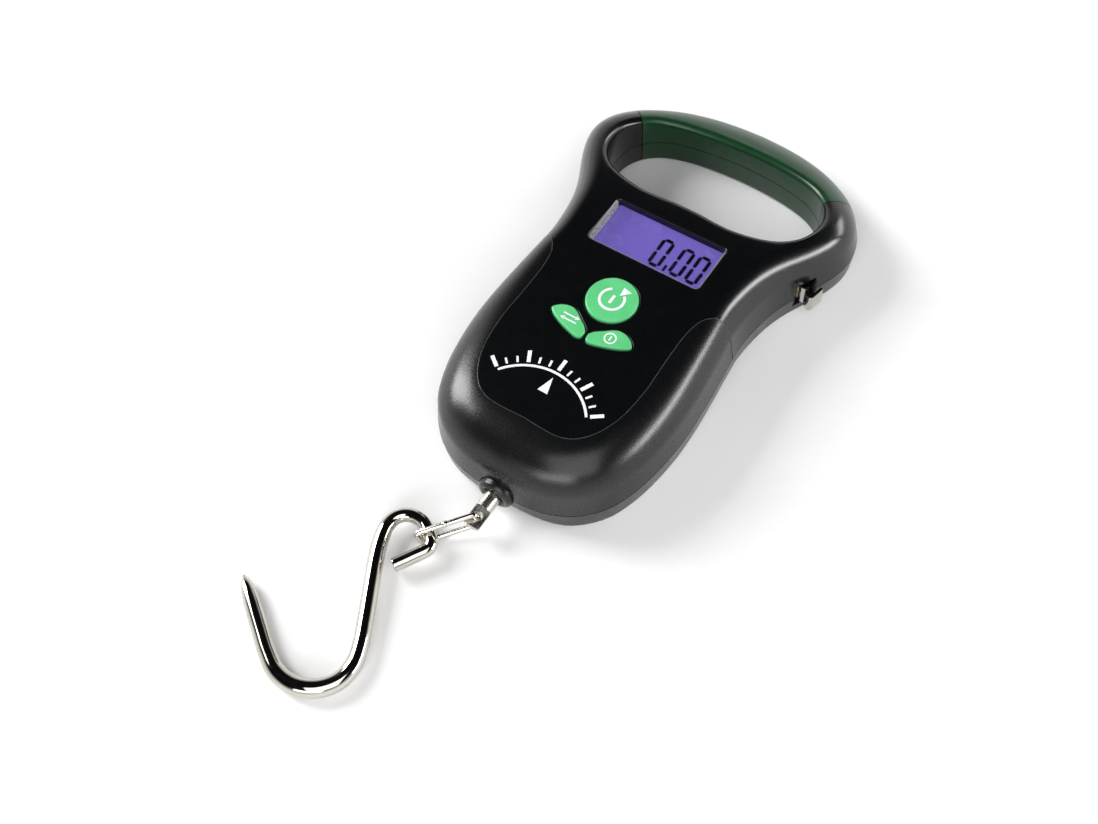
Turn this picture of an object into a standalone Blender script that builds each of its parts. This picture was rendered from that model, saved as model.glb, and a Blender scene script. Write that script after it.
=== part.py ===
"""Portable digital fish scale, lying on its back.  Metres, +Z out of the front face, +Y towards the handle."""
import math

import bmesh
import bpy
from mathutils import Matrix, Vector

MM = 0.001

# Housing
THICKNESS = 25.5 * MM
PARTING_Z = 8.0 * MM
PARTING_GAP = 0.3 * MM
WALL = 2.0 * MM
SAG_START_Y = 14.0 * MM
SAG_RATE = 2.8
WALL_SHARE = 0.4
WALL_DRAFT = 0.9 * MM
REAR_DRAFT = 0.5 * MM
FRONT_EXPONENT = 1.9
RING_POINTS = 30
# Half-width of the housing at the parting line, from the stem end to the handle
HOUSING_PROFILE = [
    (0.0, -57.6), (8.5, -56.9), (13.9, -55.9), (19.3, -53.6), (23.2, -50.9), (27.2, -46.5), (29.8, -41.5),
    (32.1, -33.9), (33.5, -25.0), (34.0, -17.0), (33.8, -8.7), (33.1, 1.0), (32.4, 9.0), (32.0, 15.0), (32.3, 20.0),
    (33.1, 25.5), (34.4, 31.0), (36.5, 36.5), (38.9, 41.3), (41.2, 46.0), (43.1, 50.8), (44.2, 56.0), (43.8, 61.2),
    (41.9, 66.3), (38.5, 71.1), (34.4, 75.0), (28.7, 78.8), (22.4, 81.7), (14.6, 83.9), (7.3, 84.9), (0.0, 85.3),
]
# Half-width of the finger slot
SLOT_PROFILE = [
    (0.0, 39.9), (4.5, 39.8), (9.0, 39.4), (14.0, 39.3), (18.5, 39.9), (22.5, 40.9), (26.4, 42.5), (29.4, 44.8),
    (31.6, 47.6), (33.0, 51.2), (33.5, 55.2), (33.0, 59.2), (31.3, 63.0), (28.4, 66.3), (24.4, 68.8), (18.8, 70.6),
    (12.5, 71.7), (6.3, 72.3), (0.0, 72.5),
]
SLOT_RIM = 2.2 * MM
SLOT_REAR_RIM = 1.4 * MM
SLOT_WALL = 2.0 * MM

# Lower shroud
SHROUD_SKIN = 1.1 * MM
SHROUD_SEAT = 1.4 * MM
TONGUE_PROFILE = [
    (0.0, -42.4), (6.6, -42.7), (11.0, -42.4), (14.4, -41.0), (17.0, -38.6), (19.1, -35.4), (20.6, -31.8),
    (21.6, -28.0), (22.2, -23.0), (22.5, -18.0), (22.3, -12.0), (22.2, -5.0), (22.3, 0.0), (22.8, 3.8), (23.7, 6.6),
    (25.4, 8.9), (28.5, 10.6), (45.0, 11.2),
]
SHROUD_JOINT = 0.15 * MM

# Grip
GRIP_OUTER = (45.0 * MM, 80.0 * MM)
GRIP_INNER = (27.0 * MM, 61.2 * MM)
GRIP_JOINT = 0.15 * MM

# Display
WINDOW_HALF_X = 17.7 * MM
WINDOW_Y = (14.9 * MM, 31.4 * MM)
WINDOW_CORNER = 1.4 * MM

# Buttons
ZERO_RADIUS = 7.2 * MM
BUTTON_TOP = 26.2 * MM
BUTTON_BOTTOM = 20.2 * MM
FLANGE_Z = (22.0 * MM, 23.1 * MM)
BUTTON_CLEAR = 0.3 * MM
LEAF_PROFILE = [
    (0.5, -12.5), (1.6, -11.1), (3.4, -9.8), (5.4, -8.3), (7.2, -7.5), (9.2, -7.6), (11.2, -8.6), (12.5, -10.1),
    (12.2, -10.9), (10.4, -12.1), (7.4, -13.4), (4.2, -14.4), (2.0, -14.9), (0.8, -14.4),
]

# Electronics
BOARD_Z = (15.6 * MM, 17.2 * MM)
BOARD_X = 22.5 * MM
BOARD_Y = (-16.5 * MM, 34.0 * MM)

# Load path
LINK_WIRE = 0.75 * MM
LINK_WIDTH = 5.9 * MM
LINK_START = Vector((0.0, -65.7, 6.7)) * MM
LINK_END = Vector((-11.2, -77.8, 3.95)) * MM
HOOK_WIRE = 1.95 * MM
# Centre line of the S-hook: x, y, z and wire radius as a share of the full wire
HOOK_PATH = [
    (-12.2, -87.55, 3.8, 1.0), (-10.6, -85.05, 3.9, 1.0), (-8.8, -82.15, 4.1, 1.0),
    (-7.2, -79.45, 4.25, 1.0), (-7.3, -77.45, 4.35, 1.0), (-9.25, -75.6, 4.4, 1.0),
    (-12.7, -73.55, 4.35, 1.0), (-16.5, -73.55, 4.25, 1.0), (-19.3, -75.45, 4.1, 1.0),
    (-20.35, -78.7, 3.95, 1.05), (-19.5, -82.9, 3.85, 1.1), (-17.2, -88.25, 3.7, 1.12),
    (-13.5, -95.3, 3.4, 1.12), (-9.75, -102.3, 3.1, 1.12), (-6.5, -108.7, 2.85, 1.13),
    (-4.7, -114.2, 2.7, 1.18), (-5.4, -119.6, 2.65, 1.25), (-8.9, -123.95, 2.62, 1.31),
    (-14.3, -126.35, 2.62, 1.32), (-20.1, -126.0, 2.6, 1.27), (-25.3, -123.4, 2.5, 1.2),
    (-30.4, -120.0, 2.4, 1.17), (-35.3, -116.6, 2.4, 1.15), (-39.1, -114.0, 2.4, 1.06),
    (-42.1, -111.9, 2.45, 0.78), (-44.3, -110.4, 2.5, 0.2),
]

# Batteries
CELL_X = (-18.7 * MM, -7.5 * MM)
CELL_Z = 7.7 * MM
DOOR_X = (-24.6 * MM, -1.6 * MM)
DOOR_Y = (-25.6 * MM, 25.5 * MM)

# Measuring tape
REEL_CENTRE = (15.8 * MM, 23.0 * MM)
TAPE_Z = (5.0 * MM, 11.0 * MM)

CASE_SCREWS = [(28.2, -17.0), (-28.2, -17.0), (38.9, 57.2), (-38.9, 57.2)]
BOARD_POSTS = [(20.0, -13.6), (-20.0, -13.6), (20.0, 8.5), (-20.0, 8.5)]

PARTS = None
CUTTERS = None


def clear_scene():
    for old in list(bpy.data.objects):
        bpy.data.objects.remove(old, do_unlink=True)


def make_collection(name, hidden=False):
    made = bpy.data.collections.new(name)
    bpy.context.scene.collection.children.link(made)
    made.hide_render = hidden
    return made


def material(name, colour, roughness, metallic=0.0):
    made = bpy.data.materials.new(name)
    made.use_nodes = True
    shader = made.node_tree.nodes["Principled BSDF"]
    shader.inputs["Base Color"].default_value = (*colour, 1.0)
    shader.inputs["Roughness"].default_value = roughness
    shader.inputs["Metallic"].default_value = metallic
    return made


def add_object(name, mesh, look=None, smooth=True):
    """Link a mesh as a finished part, or as a cutter when it gets no look."""
    made = bpy.data.objects.new(name, mesh)
    if look is None:
        CUTTERS.objects.link(made)
        made.hide_render = True
        made.display_type = "WIRE"
        return made
    PARTS.objects.link(made)
    mesh.materials.clear()
    mesh.materials.append(material(name, *look))
    for face in mesh.polygons:
        face.use_smooth = smooth
    return made


def boolean(target, cutter, operation="DIFFERENCE"):
    step = target.modifiers.new(operation.title(), "BOOLEAN")
    step.operation = operation
    step.solver = "EXACT"
    step.object = cutter
    return target


def bevel(target, width, segments=2, angle=40.0):
    step = target.modifiers.new("Bevel", "BEVEL")
    step.width = width
    step.segments = segments
    step.limit_method = "ANGLE"
    step.angle_limit = math.radians(angle)
    return target


def to_mesh(name, build):
    """Run build on an empty bmesh and store the result with outward normals."""
    work = bmesh.new()
    build(work)
    bmesh.ops.recalc_face_normals(work, faces=work.faces)
    mesh = bpy.data.meshes.new(name)
    work.to_mesh(mesh)
    work.free()
    return mesh


def box(name, low, high, look=None):
    """Box from one corner to the other, in millimetres."""
    size = [(b - a) * MM for a, b in zip(low, high)]
    centre = [(a + b) * MM / 2 for a, b in zip(low, high)]

    def build(work):
        bmesh.ops.create_cube(work, size=1.0, matrix=Matrix.Diagonal((*size, 1.0)))

    made = add_object(name, to_mesh(name, build), look, smooth=False)
    made.location = centre
    return made


def cylinder(name, radius, start, end, look=None, segments=32):
    """Cylinder between two points, in millimetres."""
    first = Vector(start) * MM
    last = Vector(end) * MM
    along = last - first

    def build(work):
        bmesh.ops.create_cone(
            work, cap_ends=True, segments=segments, radius1=radius * MM, radius2=radius * MM, depth=along.length
        )

    made = add_object(name, to_mesh(name, build), look)
    made.rotation_euler = along.to_track_quat("Z", "Y").to_euler()
    made.location = (first + last) / 2
    return made


def turned(name, profile, start, end, look, steps=32):
    """Round part from a closed (radius, height) profile in millimetres, on the axis from start towards end."""
    along = Vector(end) - Vector(start)

    def build(work):
        points = [work.verts.new((r * MM, 0.0, z * MM)) for r, z in profile]
        pairs = zip(points, points[1:] + points[:1])
        edges = [work.edges.new(pair) for pair in pairs if max(v.co.x for v in pair) > 0]
        bmesh.ops.spin(
            work, geom=points + edges, cent=(0, 0, 0), axis=(0, 0, 1), angle=2 * math.pi, steps=steps,
            use_merge=True,
        )
        bmesh.ops.remove_doubles(work, verts=work.verts, dist=1e-6)

    made = add_object(name, to_mesh(name, build), look)
    made.rotation_euler = along.to_track_quat("Z", "Y").to_euler()
    made.location = Vector(start) * MM
    return made


def smooth_path(points, count):
    """Points at even parameter steps along a Catmull-Rom curve through the given ones."""
    padded = [points[0]] + list(points) + [points[-1]]
    spans = len(points) - 1
    made = []
    for index in range(count):
        position = index * spans / (count - 1)
        span = min(int(position), spans - 1)
        t = position - span
        p0, p1, p2, p3 = padded[span:span + 4]
        made.append(tuple(
            0.5 * (2 * b + (c - a) * t + (2 * a - 5 * b + 4 * c - d) * t * t + (3 * b - a - 3 * c + d) * t ** 3)
            for a, b, c, d in zip(p0, p1, p2, p3)
        ))
    return made


def resample(points, count):
    """The same line with its points evenly spaced by length."""
    lengths = [0.0]
    for a, b in zip(points, points[1:]):
        lengths.append(lengths[-1] + math.dist(a, b))
    made = []
    cursor = 0
    for index in range(count):
        goal = lengths[-1] * index / (count - 1)
        while cursor < len(points) - 2 and lengths[cursor + 1] < goal:
            cursor += 1
        span = lengths[cursor + 1] - lengths[cursor]
        t = (goal - lengths[cursor]) / span
        made.append(tuple(a + (b - a) * t for a, b in zip(points[cursor], points[cursor + 1])))
    return made


def half_outline(profile, count=RING_POINTS):
    """Right-hand half of a symmetric outline, from its -Y point to its +Y point, in metres."""
    made = resample(smooth_path(profile, 12 * len(profile)), count)
    return [(x * MM, y * MM) for x, y in made]


def normals_of(half):
    """Outward unit normals along a right-hand half outline, with the end ones along Y."""
    made = []
    last = len(half) - 1
    for index in range(len(half)):
        a = half[max(index - 1, 0)]
        b = half[min(index + 1, last)]
        dx, dy = b[0] - a[0], b[1] - a[1]
        size = math.hypot(dx, dy)
        made.append((dy / size, -dx / size))
    made[0] = (0.0, -1.0)
    made[-1] = (0.0, 1.0)
    return made


def moved_half(half, inset):
    """Half outline moved inwards by inset(y) along its own normals."""
    made = []
    for (x, y), (nx, ny) in zip(half, normals_of(half)):
        step = inset(y)
        made.append((max(x - nx * step, 0.0), y - ny * step))
    made[0] = (0.0, made[0][1])
    made[-1] = (0.0, made[-1][1])
    return made


def front_height(y):
    """Height of the front face, which falls away towards the handle."""
    return THICKNESS - SAG_RATE * max(0.0, y - SAG_START_Y) ** 2


def front_round(y):
    """Width of the rounding between the side wall and the front face: wider round the stem end."""
    t = min(max((8 * MM - y) / (67 * MM), 0.0), 1.0)
    return 7.4 * MM + 6.8 * MM * t


def rear_round(y):
    """Radius of the rear edge: wider next to the stem."""
    t = min(max((-54 * MM - y) / (4 * MM), 0.0), 1.0)
    return 1.7 * MM + 3.4 * MM * t


def loft(name, rings, height_of, look=None):
    """Closed body through symmetric rings of half outlines, capped with strips across X."""
    def build(work):
        rows = []
        for level, half in enumerate(rings):
            right = [work.verts.new((x, y, height_of(level, y))) for x, y in half]
            left = [work.verts.new((-x, y, height_of(level, y))) for x, y in half[1:-1]]
            rows.append(right + left[::-1])
        count = len(rows[0])
        for low, high in zip(rows, rows[1:]):
            for i in range(count):
                j = (i + 1) % count
                work.faces.new((low[i], low[j], high[j], high[i]))
        top = len(rings[0]) - 1
        for row in (rows[0], rows[-1]):
            for i in range(top):
                ends = [row[i], row[i + 1], row[(count - i - 1) % count], row[(count - i) % count]]
                unique = list(dict.fromkeys(ends))
                work.faces.new(unique)

    return add_object(name, to_mesh(name, build), look)


def front_loft(name, inset, drop, low, look=None, levels=6):
    """Upper housing form from height low up to the front face, shrunk by inset and drop."""
    half = half_outline(HOUSING_PROFILE)
    shares = [0.0]
    rings = [moved_half(half, lambda y: inset)]
    for i in range(levels):
        rise = math.sin(math.pi / 2 * i / (levels - 1))
        run = 1.0 - (1.0 - rise ** FRONT_EXPONENT) ** (1.0 / FRONT_EXPONENT)
        shares.append(WALL_SHARE + (1.0 - WALL_SHARE) * rise)
        rings.append(moved_half(half, lambda y, run=run: inset + WALL_DRAFT + run * front_round(y)))
    if low < PARTING_Z:
        shares.insert(0, 0.0)
        rings.insert(0, rings[0])

    def height(level, y):
        if low < PARTING_Z and level == 0:
            return low
        return low_edge + shares[level] * (front_height(y) - drop - low_edge)

    low_edge = max(low, PARTING_Z)
    return loft(name, rings, height, look)


def rear_loft(name, inset, floor, high, look=None, levels=4):
    """Lower housing form from the resting face up to height high, shrunk by inset."""
    half = half_outline(HOUSING_PROFILE)
    angles = [math.pi / 2 * (1 - i / (levels - 1)) for i in range(levels)]
    rings = [
        moved_half(half, lambda y, a=a: inset + REAR_DRAFT + rear_round(y) * (1 - math.cos(a))) for a in angles
    ]
    rings.append(moved_half(half, lambda y: inset))
    top = min(high, PARTING_Z - PARTING_GAP)

    def height(level, y):
        if level > levels:
            return high
        if level == levels:
            return top
        return floor + rear_round(y) * (1 - math.sin(angles[level]))

    if high > PARTING_Z:
        rings.append(rings[-1])
    return loft(name, rings, height, look)


def slot_cutter(name, outset, flared):
    """Finger slot form.  With flared, both rims open out in a rounding."""
    half = half_outline(SLOT_PROFILE, 26)
    if not flared:
        ring = moved_half(half, lambda y: -outset)
        return loft(name, [ring, ring], lambda level, y: (-5 * MM, 40 * MM)[level])
    steps = 3
    rings = []
    heights = []

    def add(offset, height):
        rings.append(moved_half(half, lambda y, offset=offset: -offset))
        heights.append(height)

    add(SLOT_REAR_RIM, lambda y: -4 * MM)
    for i in range(steps + 1):
        angle = math.pi / 2 * i / steps
        add(SLOT_REAR_RIM * (1 - math.sin(angle)), lambda y, a=angle: SLOT_REAR_RIM * (1 - math.cos(a)))
    for i in range(steps + 1):
        angle = math.pi / 2 * i / steps
        add(
            SLOT_RIM * (1 - math.cos(angle)),
            lambda y, a=angle: front_height(y) - SLOT_RIM * (1 - math.sin(a)),
        )
    add(SLOT_RIM, lambda y: front_height(y) + 5 * MM)
    return loft(name, rings, lambda level, y: heights[level](y))


def prism(name, outline, low, high, look=None, smooth=False):
    """Flat outline in metres raised from height low to height high."""
    def build(work):
        bottom = [work.verts.new((x, y, low)) for x, y in outline]
        face = work.faces.new(bottom)
        made = bmesh.ops.extrude_face_region(work, geom=[face])
        top = [item for item in made["geom"] if isinstance(item, bmesh.types.BMVert)]
        bmesh.ops.translate(work, verts=top, vec=(0, 0, high - low))

    return add_object(name, to_mesh(name, build), look, smooth)


def grown(outline, amount):
    """Closed outline moved outwards by amount along its corner normals."""
    count = len(outline)
    area = sum(
        outline[i][0] * outline[(i + 1) % count][1] - outline[(i + 1) % count][0] * outline[i][1]
        for i in range(count)
    )
    turn = 1.0 if area > 0 else -1.0
    made = []
    for i in range(count):
        a = Vector(outline[i - 1])
        b = Vector(outline[i])
        c = Vector(outline[(i + 1) % count])
        first = (b - a).normalized()
        second = (c - b).normalized()
        n1 = Vector((first.y, -first.x)) * turn
        n2 = Vector((second.y, -second.x)) * turn
        out = (n1 + n2).normalized()
        step = amount / max(out.dot(n1), 0.5)
        made.append((b.x + out.x * step, b.y + out.y * step))
    return made


def rounded_rectangle(x0, y0, x1, y1, radius, steps=4):
    made = []
    corners = ((x1 - radius, y1 - radius, 0), (x0 + radius, y1 - radius, 1),
               (x0 + radius, y0 + radius, 2), (x1 - radius, y0 + radius, 3))
    for cx, cy, quarter in corners:
        for i in range(steps + 1):
            angle = math.pi / 2 * (quarter + i / steps)
            made.append((cx + radius * math.cos(angle), cy + radius * math.sin(angle)))
    return made


def circle(x, y, radius, count=32):
    return [
        (x + radius * math.cos(2 * math.pi * i / count), y + radius * math.sin(2 * math.pi * i / count))
        for i in range(count)
    ]


def leaf_outline(side):
    """Leaf button outline; side is +1 for the right one and -1 for the left one."""
    closed = LEAF_PROFILE + LEAF_PROFILE[:1]
    smooth = resample(smooth_path(closed, 15 * len(closed)), 23)[:-1]
    return [(side * x * MM, y * MM) for x, y in smooth]


def grip_region(name, grow):
    """Wedge-shaped prism round the top bar; grow moves its end faces outwards."""
    ox, oy = GRIP_OUTER
    ix, iy = GRIP_INNER
    outline = [(-ox, oy), (-ix, iy), (ix, iy), (ox, oy), (ox, oy + 20 * MM), (-ox, oy + 20 * MM)]
    shift = grow * 1.25
    outline = [(x, y - shift) if y < oy + 1 * MM else (x, y) for x, y in outline]
    return prism(name, outline, -6 * MM, 40 * MM)


def wire(name, points, radius, look, cyclic=False, shares=None):
    """Round wire through points in metres, kept as a mesh."""
    curve = bpy.data.curves.new(name, "CURVE")
    curve.dimensions = "3D"
    curve.bevel_depth = radius
    curve.bevel_resolution = 2
    curve.use_fill_caps = True
    spline = curve.splines.new("POLY")
    spline.points.add(len(points) - 1)
    spline.use_cyclic_u = cyclic
    for index, (point, place) in enumerate(zip(spline.points, points)):
        point.co = (*place, 1.0)
        point.radius = shares[index] if shares else 1.0
    temporary = bpy.data.objects.new(name + "_path", curve)
    CUTTERS.objects.link(temporary)
    bpy.context.view_layer.update()
    mesh = bpy.data.meshes.new_from_object(temporary)
    bpy.data.objects.remove(temporary, do_unlink=True)
    work = bmesh.new()
    work.from_mesh(mesh)
    bmesh.ops.remove_doubles(work, verts=work.verts, dist=1e-6)
    bmesh.ops.recalc_face_normals(work, faces=work.faces)
    work.to_mesh(mesh)
    work.free()
    return add_object(name, mesh, look)


BLACK = ((0.012, 0.013, 0.015), 0.28)
MATTE_BLACK = ((0.02, 0.022, 0.025), 0.55)
GREEN_GRIP = ((0.012, 0.09, 0.035), 0.45)
MINT = ((0.12, 0.52, 0.22), 0.35)
CHROME = ((0.78, 0.78, 0.76), 0.12, 1.0)
STEEL = ((0.55, 0.56, 0.58), 0.3, 1.0)
BRASS = ((0.7, 0.52, 0.2), 0.3, 1.0)


def build_housing():
    """Front and rear covers, the shroud and the two grip halves, all cut from the same forms."""
    front = front_loft("front_cover", 0.0, 0.0, PARTING_Z, BLACK)
    grip_front = front_loft("grip_front", 0.0, 0.0, PARTING_Z, GREEN_GRIP)
    rear = rear_loft("rear_cover", 0.0, 0.0, PARTING_Z, BLACK)
    grip_rear = rear_loft("grip_rear", 0.0, 0.0, PARTING_Z, GREEN_GRIP)

    slot = slot_cutter("slot_cut", 0.0, True)
    slot_wall = slot_cutter("slot_wall", SLOT_WALL, False)
    front_cavity = front_loft("front_cavity", WALL, WALL, PARTING_Z - 3 * MM)
    rear_cavity = rear_loft("rear_cavity", WALL, WALL, PARTING_Z + 3 * MM)
    grip_cavity = front_loft("grip_front_cavity", WALL, WALL, PARTING_Z - 3 * MM)
    grip_rear_cavity = rear_loft("grip_rear_cavity", WALL, WALL, PARTING_Z + 3 * MM)
    for cavity in (front_cavity, rear_cavity, grip_cavity, grip_rear_cavity):
        boolean(cavity, slot_wall)

    for index, (x, y) in enumerate(CASE_SCREWS, 1):
        boolean(front_cavity, cylinder(f"front_boss_{index}", 2.9, (x, y, 4), (x, y, 30)))
        boolean(rear_cavity, cylinder(f"rear_boss_{index}", 3.1, (x, y, -2), (x, y, 12)))
    for index, (x, y) in enumerate(BOARD_POSTS, 1):
        boolean(front_cavity, cylinder(f"board_post_{index}", 2.0, (x, y, 17.5), (x, y, 30)))

    boolean(front_cavity, box("window_pad", (-20.6, 12.8, 22.4), (20.6, 34.2, 30)))
    for cavity, label in ((front_cavity, "front"), (rear_cavity, "rear")):
        boolean(cavity, box(f"tape_block_{label}", (34.4, 36.0, -2), (52, 46.0, 14.4)))

    shroud_seat = front_loft("shroud_seat", -1.5 * MM, -1.5 * MM, PARTING_Z - 1 * MM)
    boolean(shroud_seat, front_loft("shroud_seat_core", SHROUD_SEAT, SHROUD_SEAT, PARTING_Z - 3 * MM))
    boolean(shroud_seat, tongue_region("tongue_seat", -SHROUD_JOINT))
    for step in (slot, front_cavity, shroud_seat, grip_region("grip_gap", GRIP_JOINT)):
        boolean(front, step)
    boolean(front, prism("window_cut", window_outline(0.0), 18 * MM, 30 * MM))
    boolean(front, prism("zero_cut", circle(0, 0, ZERO_RADIUS + BUTTON_CLEAR, 32), 18 * MM, 30 * MM))
    for side, label in ((-1, "unit"), (1, "power")):
        boolean(front, prism(f"{label}_cut", grown(leaf_outline(side), BUTTON_CLEAR), 18 * MM, 30 * MM))
    bush_seat = cylinder("bush_seat", 5.4, (0, -66, 8), (0, -50.6, 8), segments=40)
    recess = tape_recess("tape_recess")
    for shell in (front, rear):
        boolean(shell, bush_seat)
        boolean(shell, recess)
    for index, (x, y) in enumerate(CASE_SCREWS, 1):
        boolean(front, cylinder(f"screw_hole_{index}", 1.2, (x, y, 5), (x, y, 13.2), segments=16))
        boolean(rear, cylinder(f"screw_way_{index}", 1.4, (x, y, -1), (x, y, 10), segments=16))
        boolean(rear, cylinder(f"screw_head_{index}", 2.6, (x, y, -1), (x, y, 2.6), segments=20))
    for index, (x, y) in enumerate(BOARD_POSTS[:2], 1):
        boolean(front, cylinder(f"board_hole_{index}", 0.9, (x, y, 16), (x, y, 21.5), segments=12))

    shroud = front_loft("lower_shroud", 0.0, 0.0, PARTING_Z, MATTE_BLACK)
    boolean(shroud, front_loft("shroud_core", SHROUD_SKIN, SHROUD_SKIN, PARTING_Z - 3 * MM))
    boolean(shroud, tongue_region("tongue_trim", SHROUD_JOINT))
    boolean(shroud, bush_seat)

    grip = grip_region("grip_keep", -GRIP_JOINT)
    boolean(grip_front, slot)
    boolean(grip_front, grip_cavity)
    boolean(grip_front, grip, "INTERSECT")
    boolean(grip_rear, slot)
    boolean(grip_rear, grip_rear_cavity)
    boolean(grip_rear, grip, "INTERSECT")
    for step in (slot, rear_cavity, grip_region("grip_gap_rear", GRIP_JOINT)):
        boolean(rear, step)
    build_door(rear)


def window_outline(grow):
    return rounded_rectangle(
        -WINDOW_HALF_X - grow, WINDOW_Y[0] - grow, WINDOW_HALF_X + grow, WINDOW_Y[1] + grow, WINDOW_CORNER + grow
    )


def tongue_region(name, grow):
    """Everything the shroud leaves free: the tongue of the front face and all above the shoulders."""
    half = half_outline(TONGUE_PROFILE, 40)
    outline = [(x, y) for x, y in half] + [(-x, y) for x, y in half[:0:-1]]
    outline = grown(outline, grow)
    top = 110 * MM
    right = outline[:len(half)]
    left = outline[len(half):]
    closed = right + [(60 * MM, right[-1][1]), (60 * MM, top), (-60 * MM, top), (-60 * MM, right[-1][1])] + left
    return prism(name, closed, -8 * MM, 45 * MM)


def tape_recess(name):
    """Pocket in the right side wall that the folded tape end sits in."""
    outline = [(36.4, 37.4), (60.0, 37.4), (60.0, 44.4), (36.4, 44.4)]
    pocket = prism(name, [(x * MM, y * MM) for x, y in outline], 4.0 * MM, 12.2 * MM)
    return boolean(pocket, box("tape_mouth", (31.6, 38.8, 4.01), (38.6, 42.4, 12.19)), "UNION")


def build_door(rear):
    """Battery door let into the resting face."""
    x0, x1 = DOOR_X
    y0, y1 = DOOR_Y
    opening = prism("door_opening", rounded_rectangle(x0, y0, x1, y1, 2 * MM), -3 * MM, 5 * MM)
    boolean(rear, opening)
    inner = rounded_rectangle(x0 + 0.25 * MM, y0 + 0.25 * MM, x1 - 0.25 * MM, y1 - 0.25 * MM, 1.75 * MM)
    door = prism("battery_door", inner, 0.0, 1.8 * MM, BLACK)
    bevel(door, 0.2 * MM, 1)


def build_handle_core():
    """Flat strip that carries the pull from arm to arm inside the grip."""
    outer = half_outline(HOUSING_PROFILE)
    inner = half_outline(SLOT_PROFILE)
    rows = []
    for share in range(25):
        t = 0.22 + 0.78 * share / 24
        a = Vector(sample_upper(outer, t))
        b = Vector(sample_upper(inner, t))
        middle = (a + b) / 2
        along = (a - b).normalized()
        rows.append((middle + along * 1.8 * MM, middle - along * 1.8 * MM))
    outline = [p[0] for p in rows] + [Vector((-p[0].x, p[0].y)) for p in rows[-2::-1]]
    outline += [Vector((-p[1].x, p[1].y)) for p in rows] + [p[1] for p in rows[-2::-1]]
    prism("handle_core", [tuple(p) for p in outline], 5.2 * MM, 7.6 * MM, STEEL)


def sample_upper(half, t):
    """Point at share t of the way from the arm at mid-slot height to the top of a half outline."""
    start = 57 * MM
    upper = [p for p in half if p[1] >= start - 1e-9]
    return resample(upper, 101)[round(100 * t)]


def build_display():
    box("display_window", (-20, 13.6, 21.1), (20, 33.4, 22.1), ((0.75, 0.8, 0.85), 0.05))
    box("display_glass", (-18.6, 14.6, 19.1), (18.6, 32.9, 20.8), ((0.16, 0.12, 0.42), 0.2))
    frame = box("display_frame", (-21.4, 12.4, 17.5), (21.4, 34.0, 20.6), MATTE_BLACK)
    boolean(frame, box("frame_cut", (-19.2, 14.2, 16.0), (19.2, 33.2, 23.0)))
    box("backlight", (-18.4, 17.4, 17.5), (18.4, 32.6, 18.8), ((0.8, 0.8, 0.9), 0.4))
    box("contact_strip", (-18.0, 14.9, 17.5), (18.0, 16.9, 18.8), ((0.5, 0.12, 0.12), 0.6))


def build_board():
    outline = rounded_rectangle(-BOARD_X, BOARD_Y[0], BOARD_X, BOARD_Y[1], 1.5 * MM)
    board = prism("circuit_board", outline, BOARD_Z[0], BOARD_Z[1], ((0.02, 0.16, 0.06), 0.4))
    for index, (x, y) in enumerate(BOARD_POSTS[:2], 1):
        boolean(board, cylinder(f"board_way_{index}", 1.15, (x, y, 10), (x, y, 20), segments=16))
    box("main_chip", (-18.0, -4.0, 14.3), (-11.0, 3.0, 15.4), ((0.02, 0.02, 0.02), 0.4))
    mat = prism(
        "keypad_mat", rounded_rectangle(-15 * MM, -15.8 * MM, 15 * MM, 8.6 * MM, 3 * MM), 17.4 * MM, 18.0 * MM,
        ((0.6, 0.6, 0.58), 0.6),
    )
    for index, (x, y) in enumerate(((0, 0), (-6.4, -11.2), (6.4, -11.2)), 1):
        dome = cylinder(f"dome_{index}", 2.2, (x, y, 17.7), (x, y, 19.3), segments=24)
        boolean(mat, dome, "UNION")
    for index, (x, y) in enumerate(BOARD_POSTS[:2], 1):
        screw_profile = [(0, 0), (1.8, 0), (1.8, 1.0), (0.8, 1.0), (0.8, 6.4), (0, 6.4)]
        turned(f"board_screw_{index}", screw_profile, (x, y, 14.4), (x, y, 30), STEEL, 12)


def button(name, outline):
    """Button cap with a retaining flange under the front cover."""
    made = prism(name, outline, BUTTON_BOTTOM, BUTTON_TOP, MINT)
    boolean(made, prism(name + "_flange", grown(outline, 0.9 * MM), *FLANGE_Z), "UNION")
    bevel(made, 0.3 * MM, 1, 60)
    return made


def build_buttons():
    button("zero_button", circle(0, 0, ZERO_RADIUS, 32))
    unit = button("unit_button", leaf_outline(-1))
    boolean(unit, box("unit_trim", (-0.2, -20, 18), (8, -5, 24)))
    power = button("power_button", leaf_outline(1))
    boolean(power, box("power_trim", (-8, -20, 18), (0.2, -5, 24)))


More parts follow.
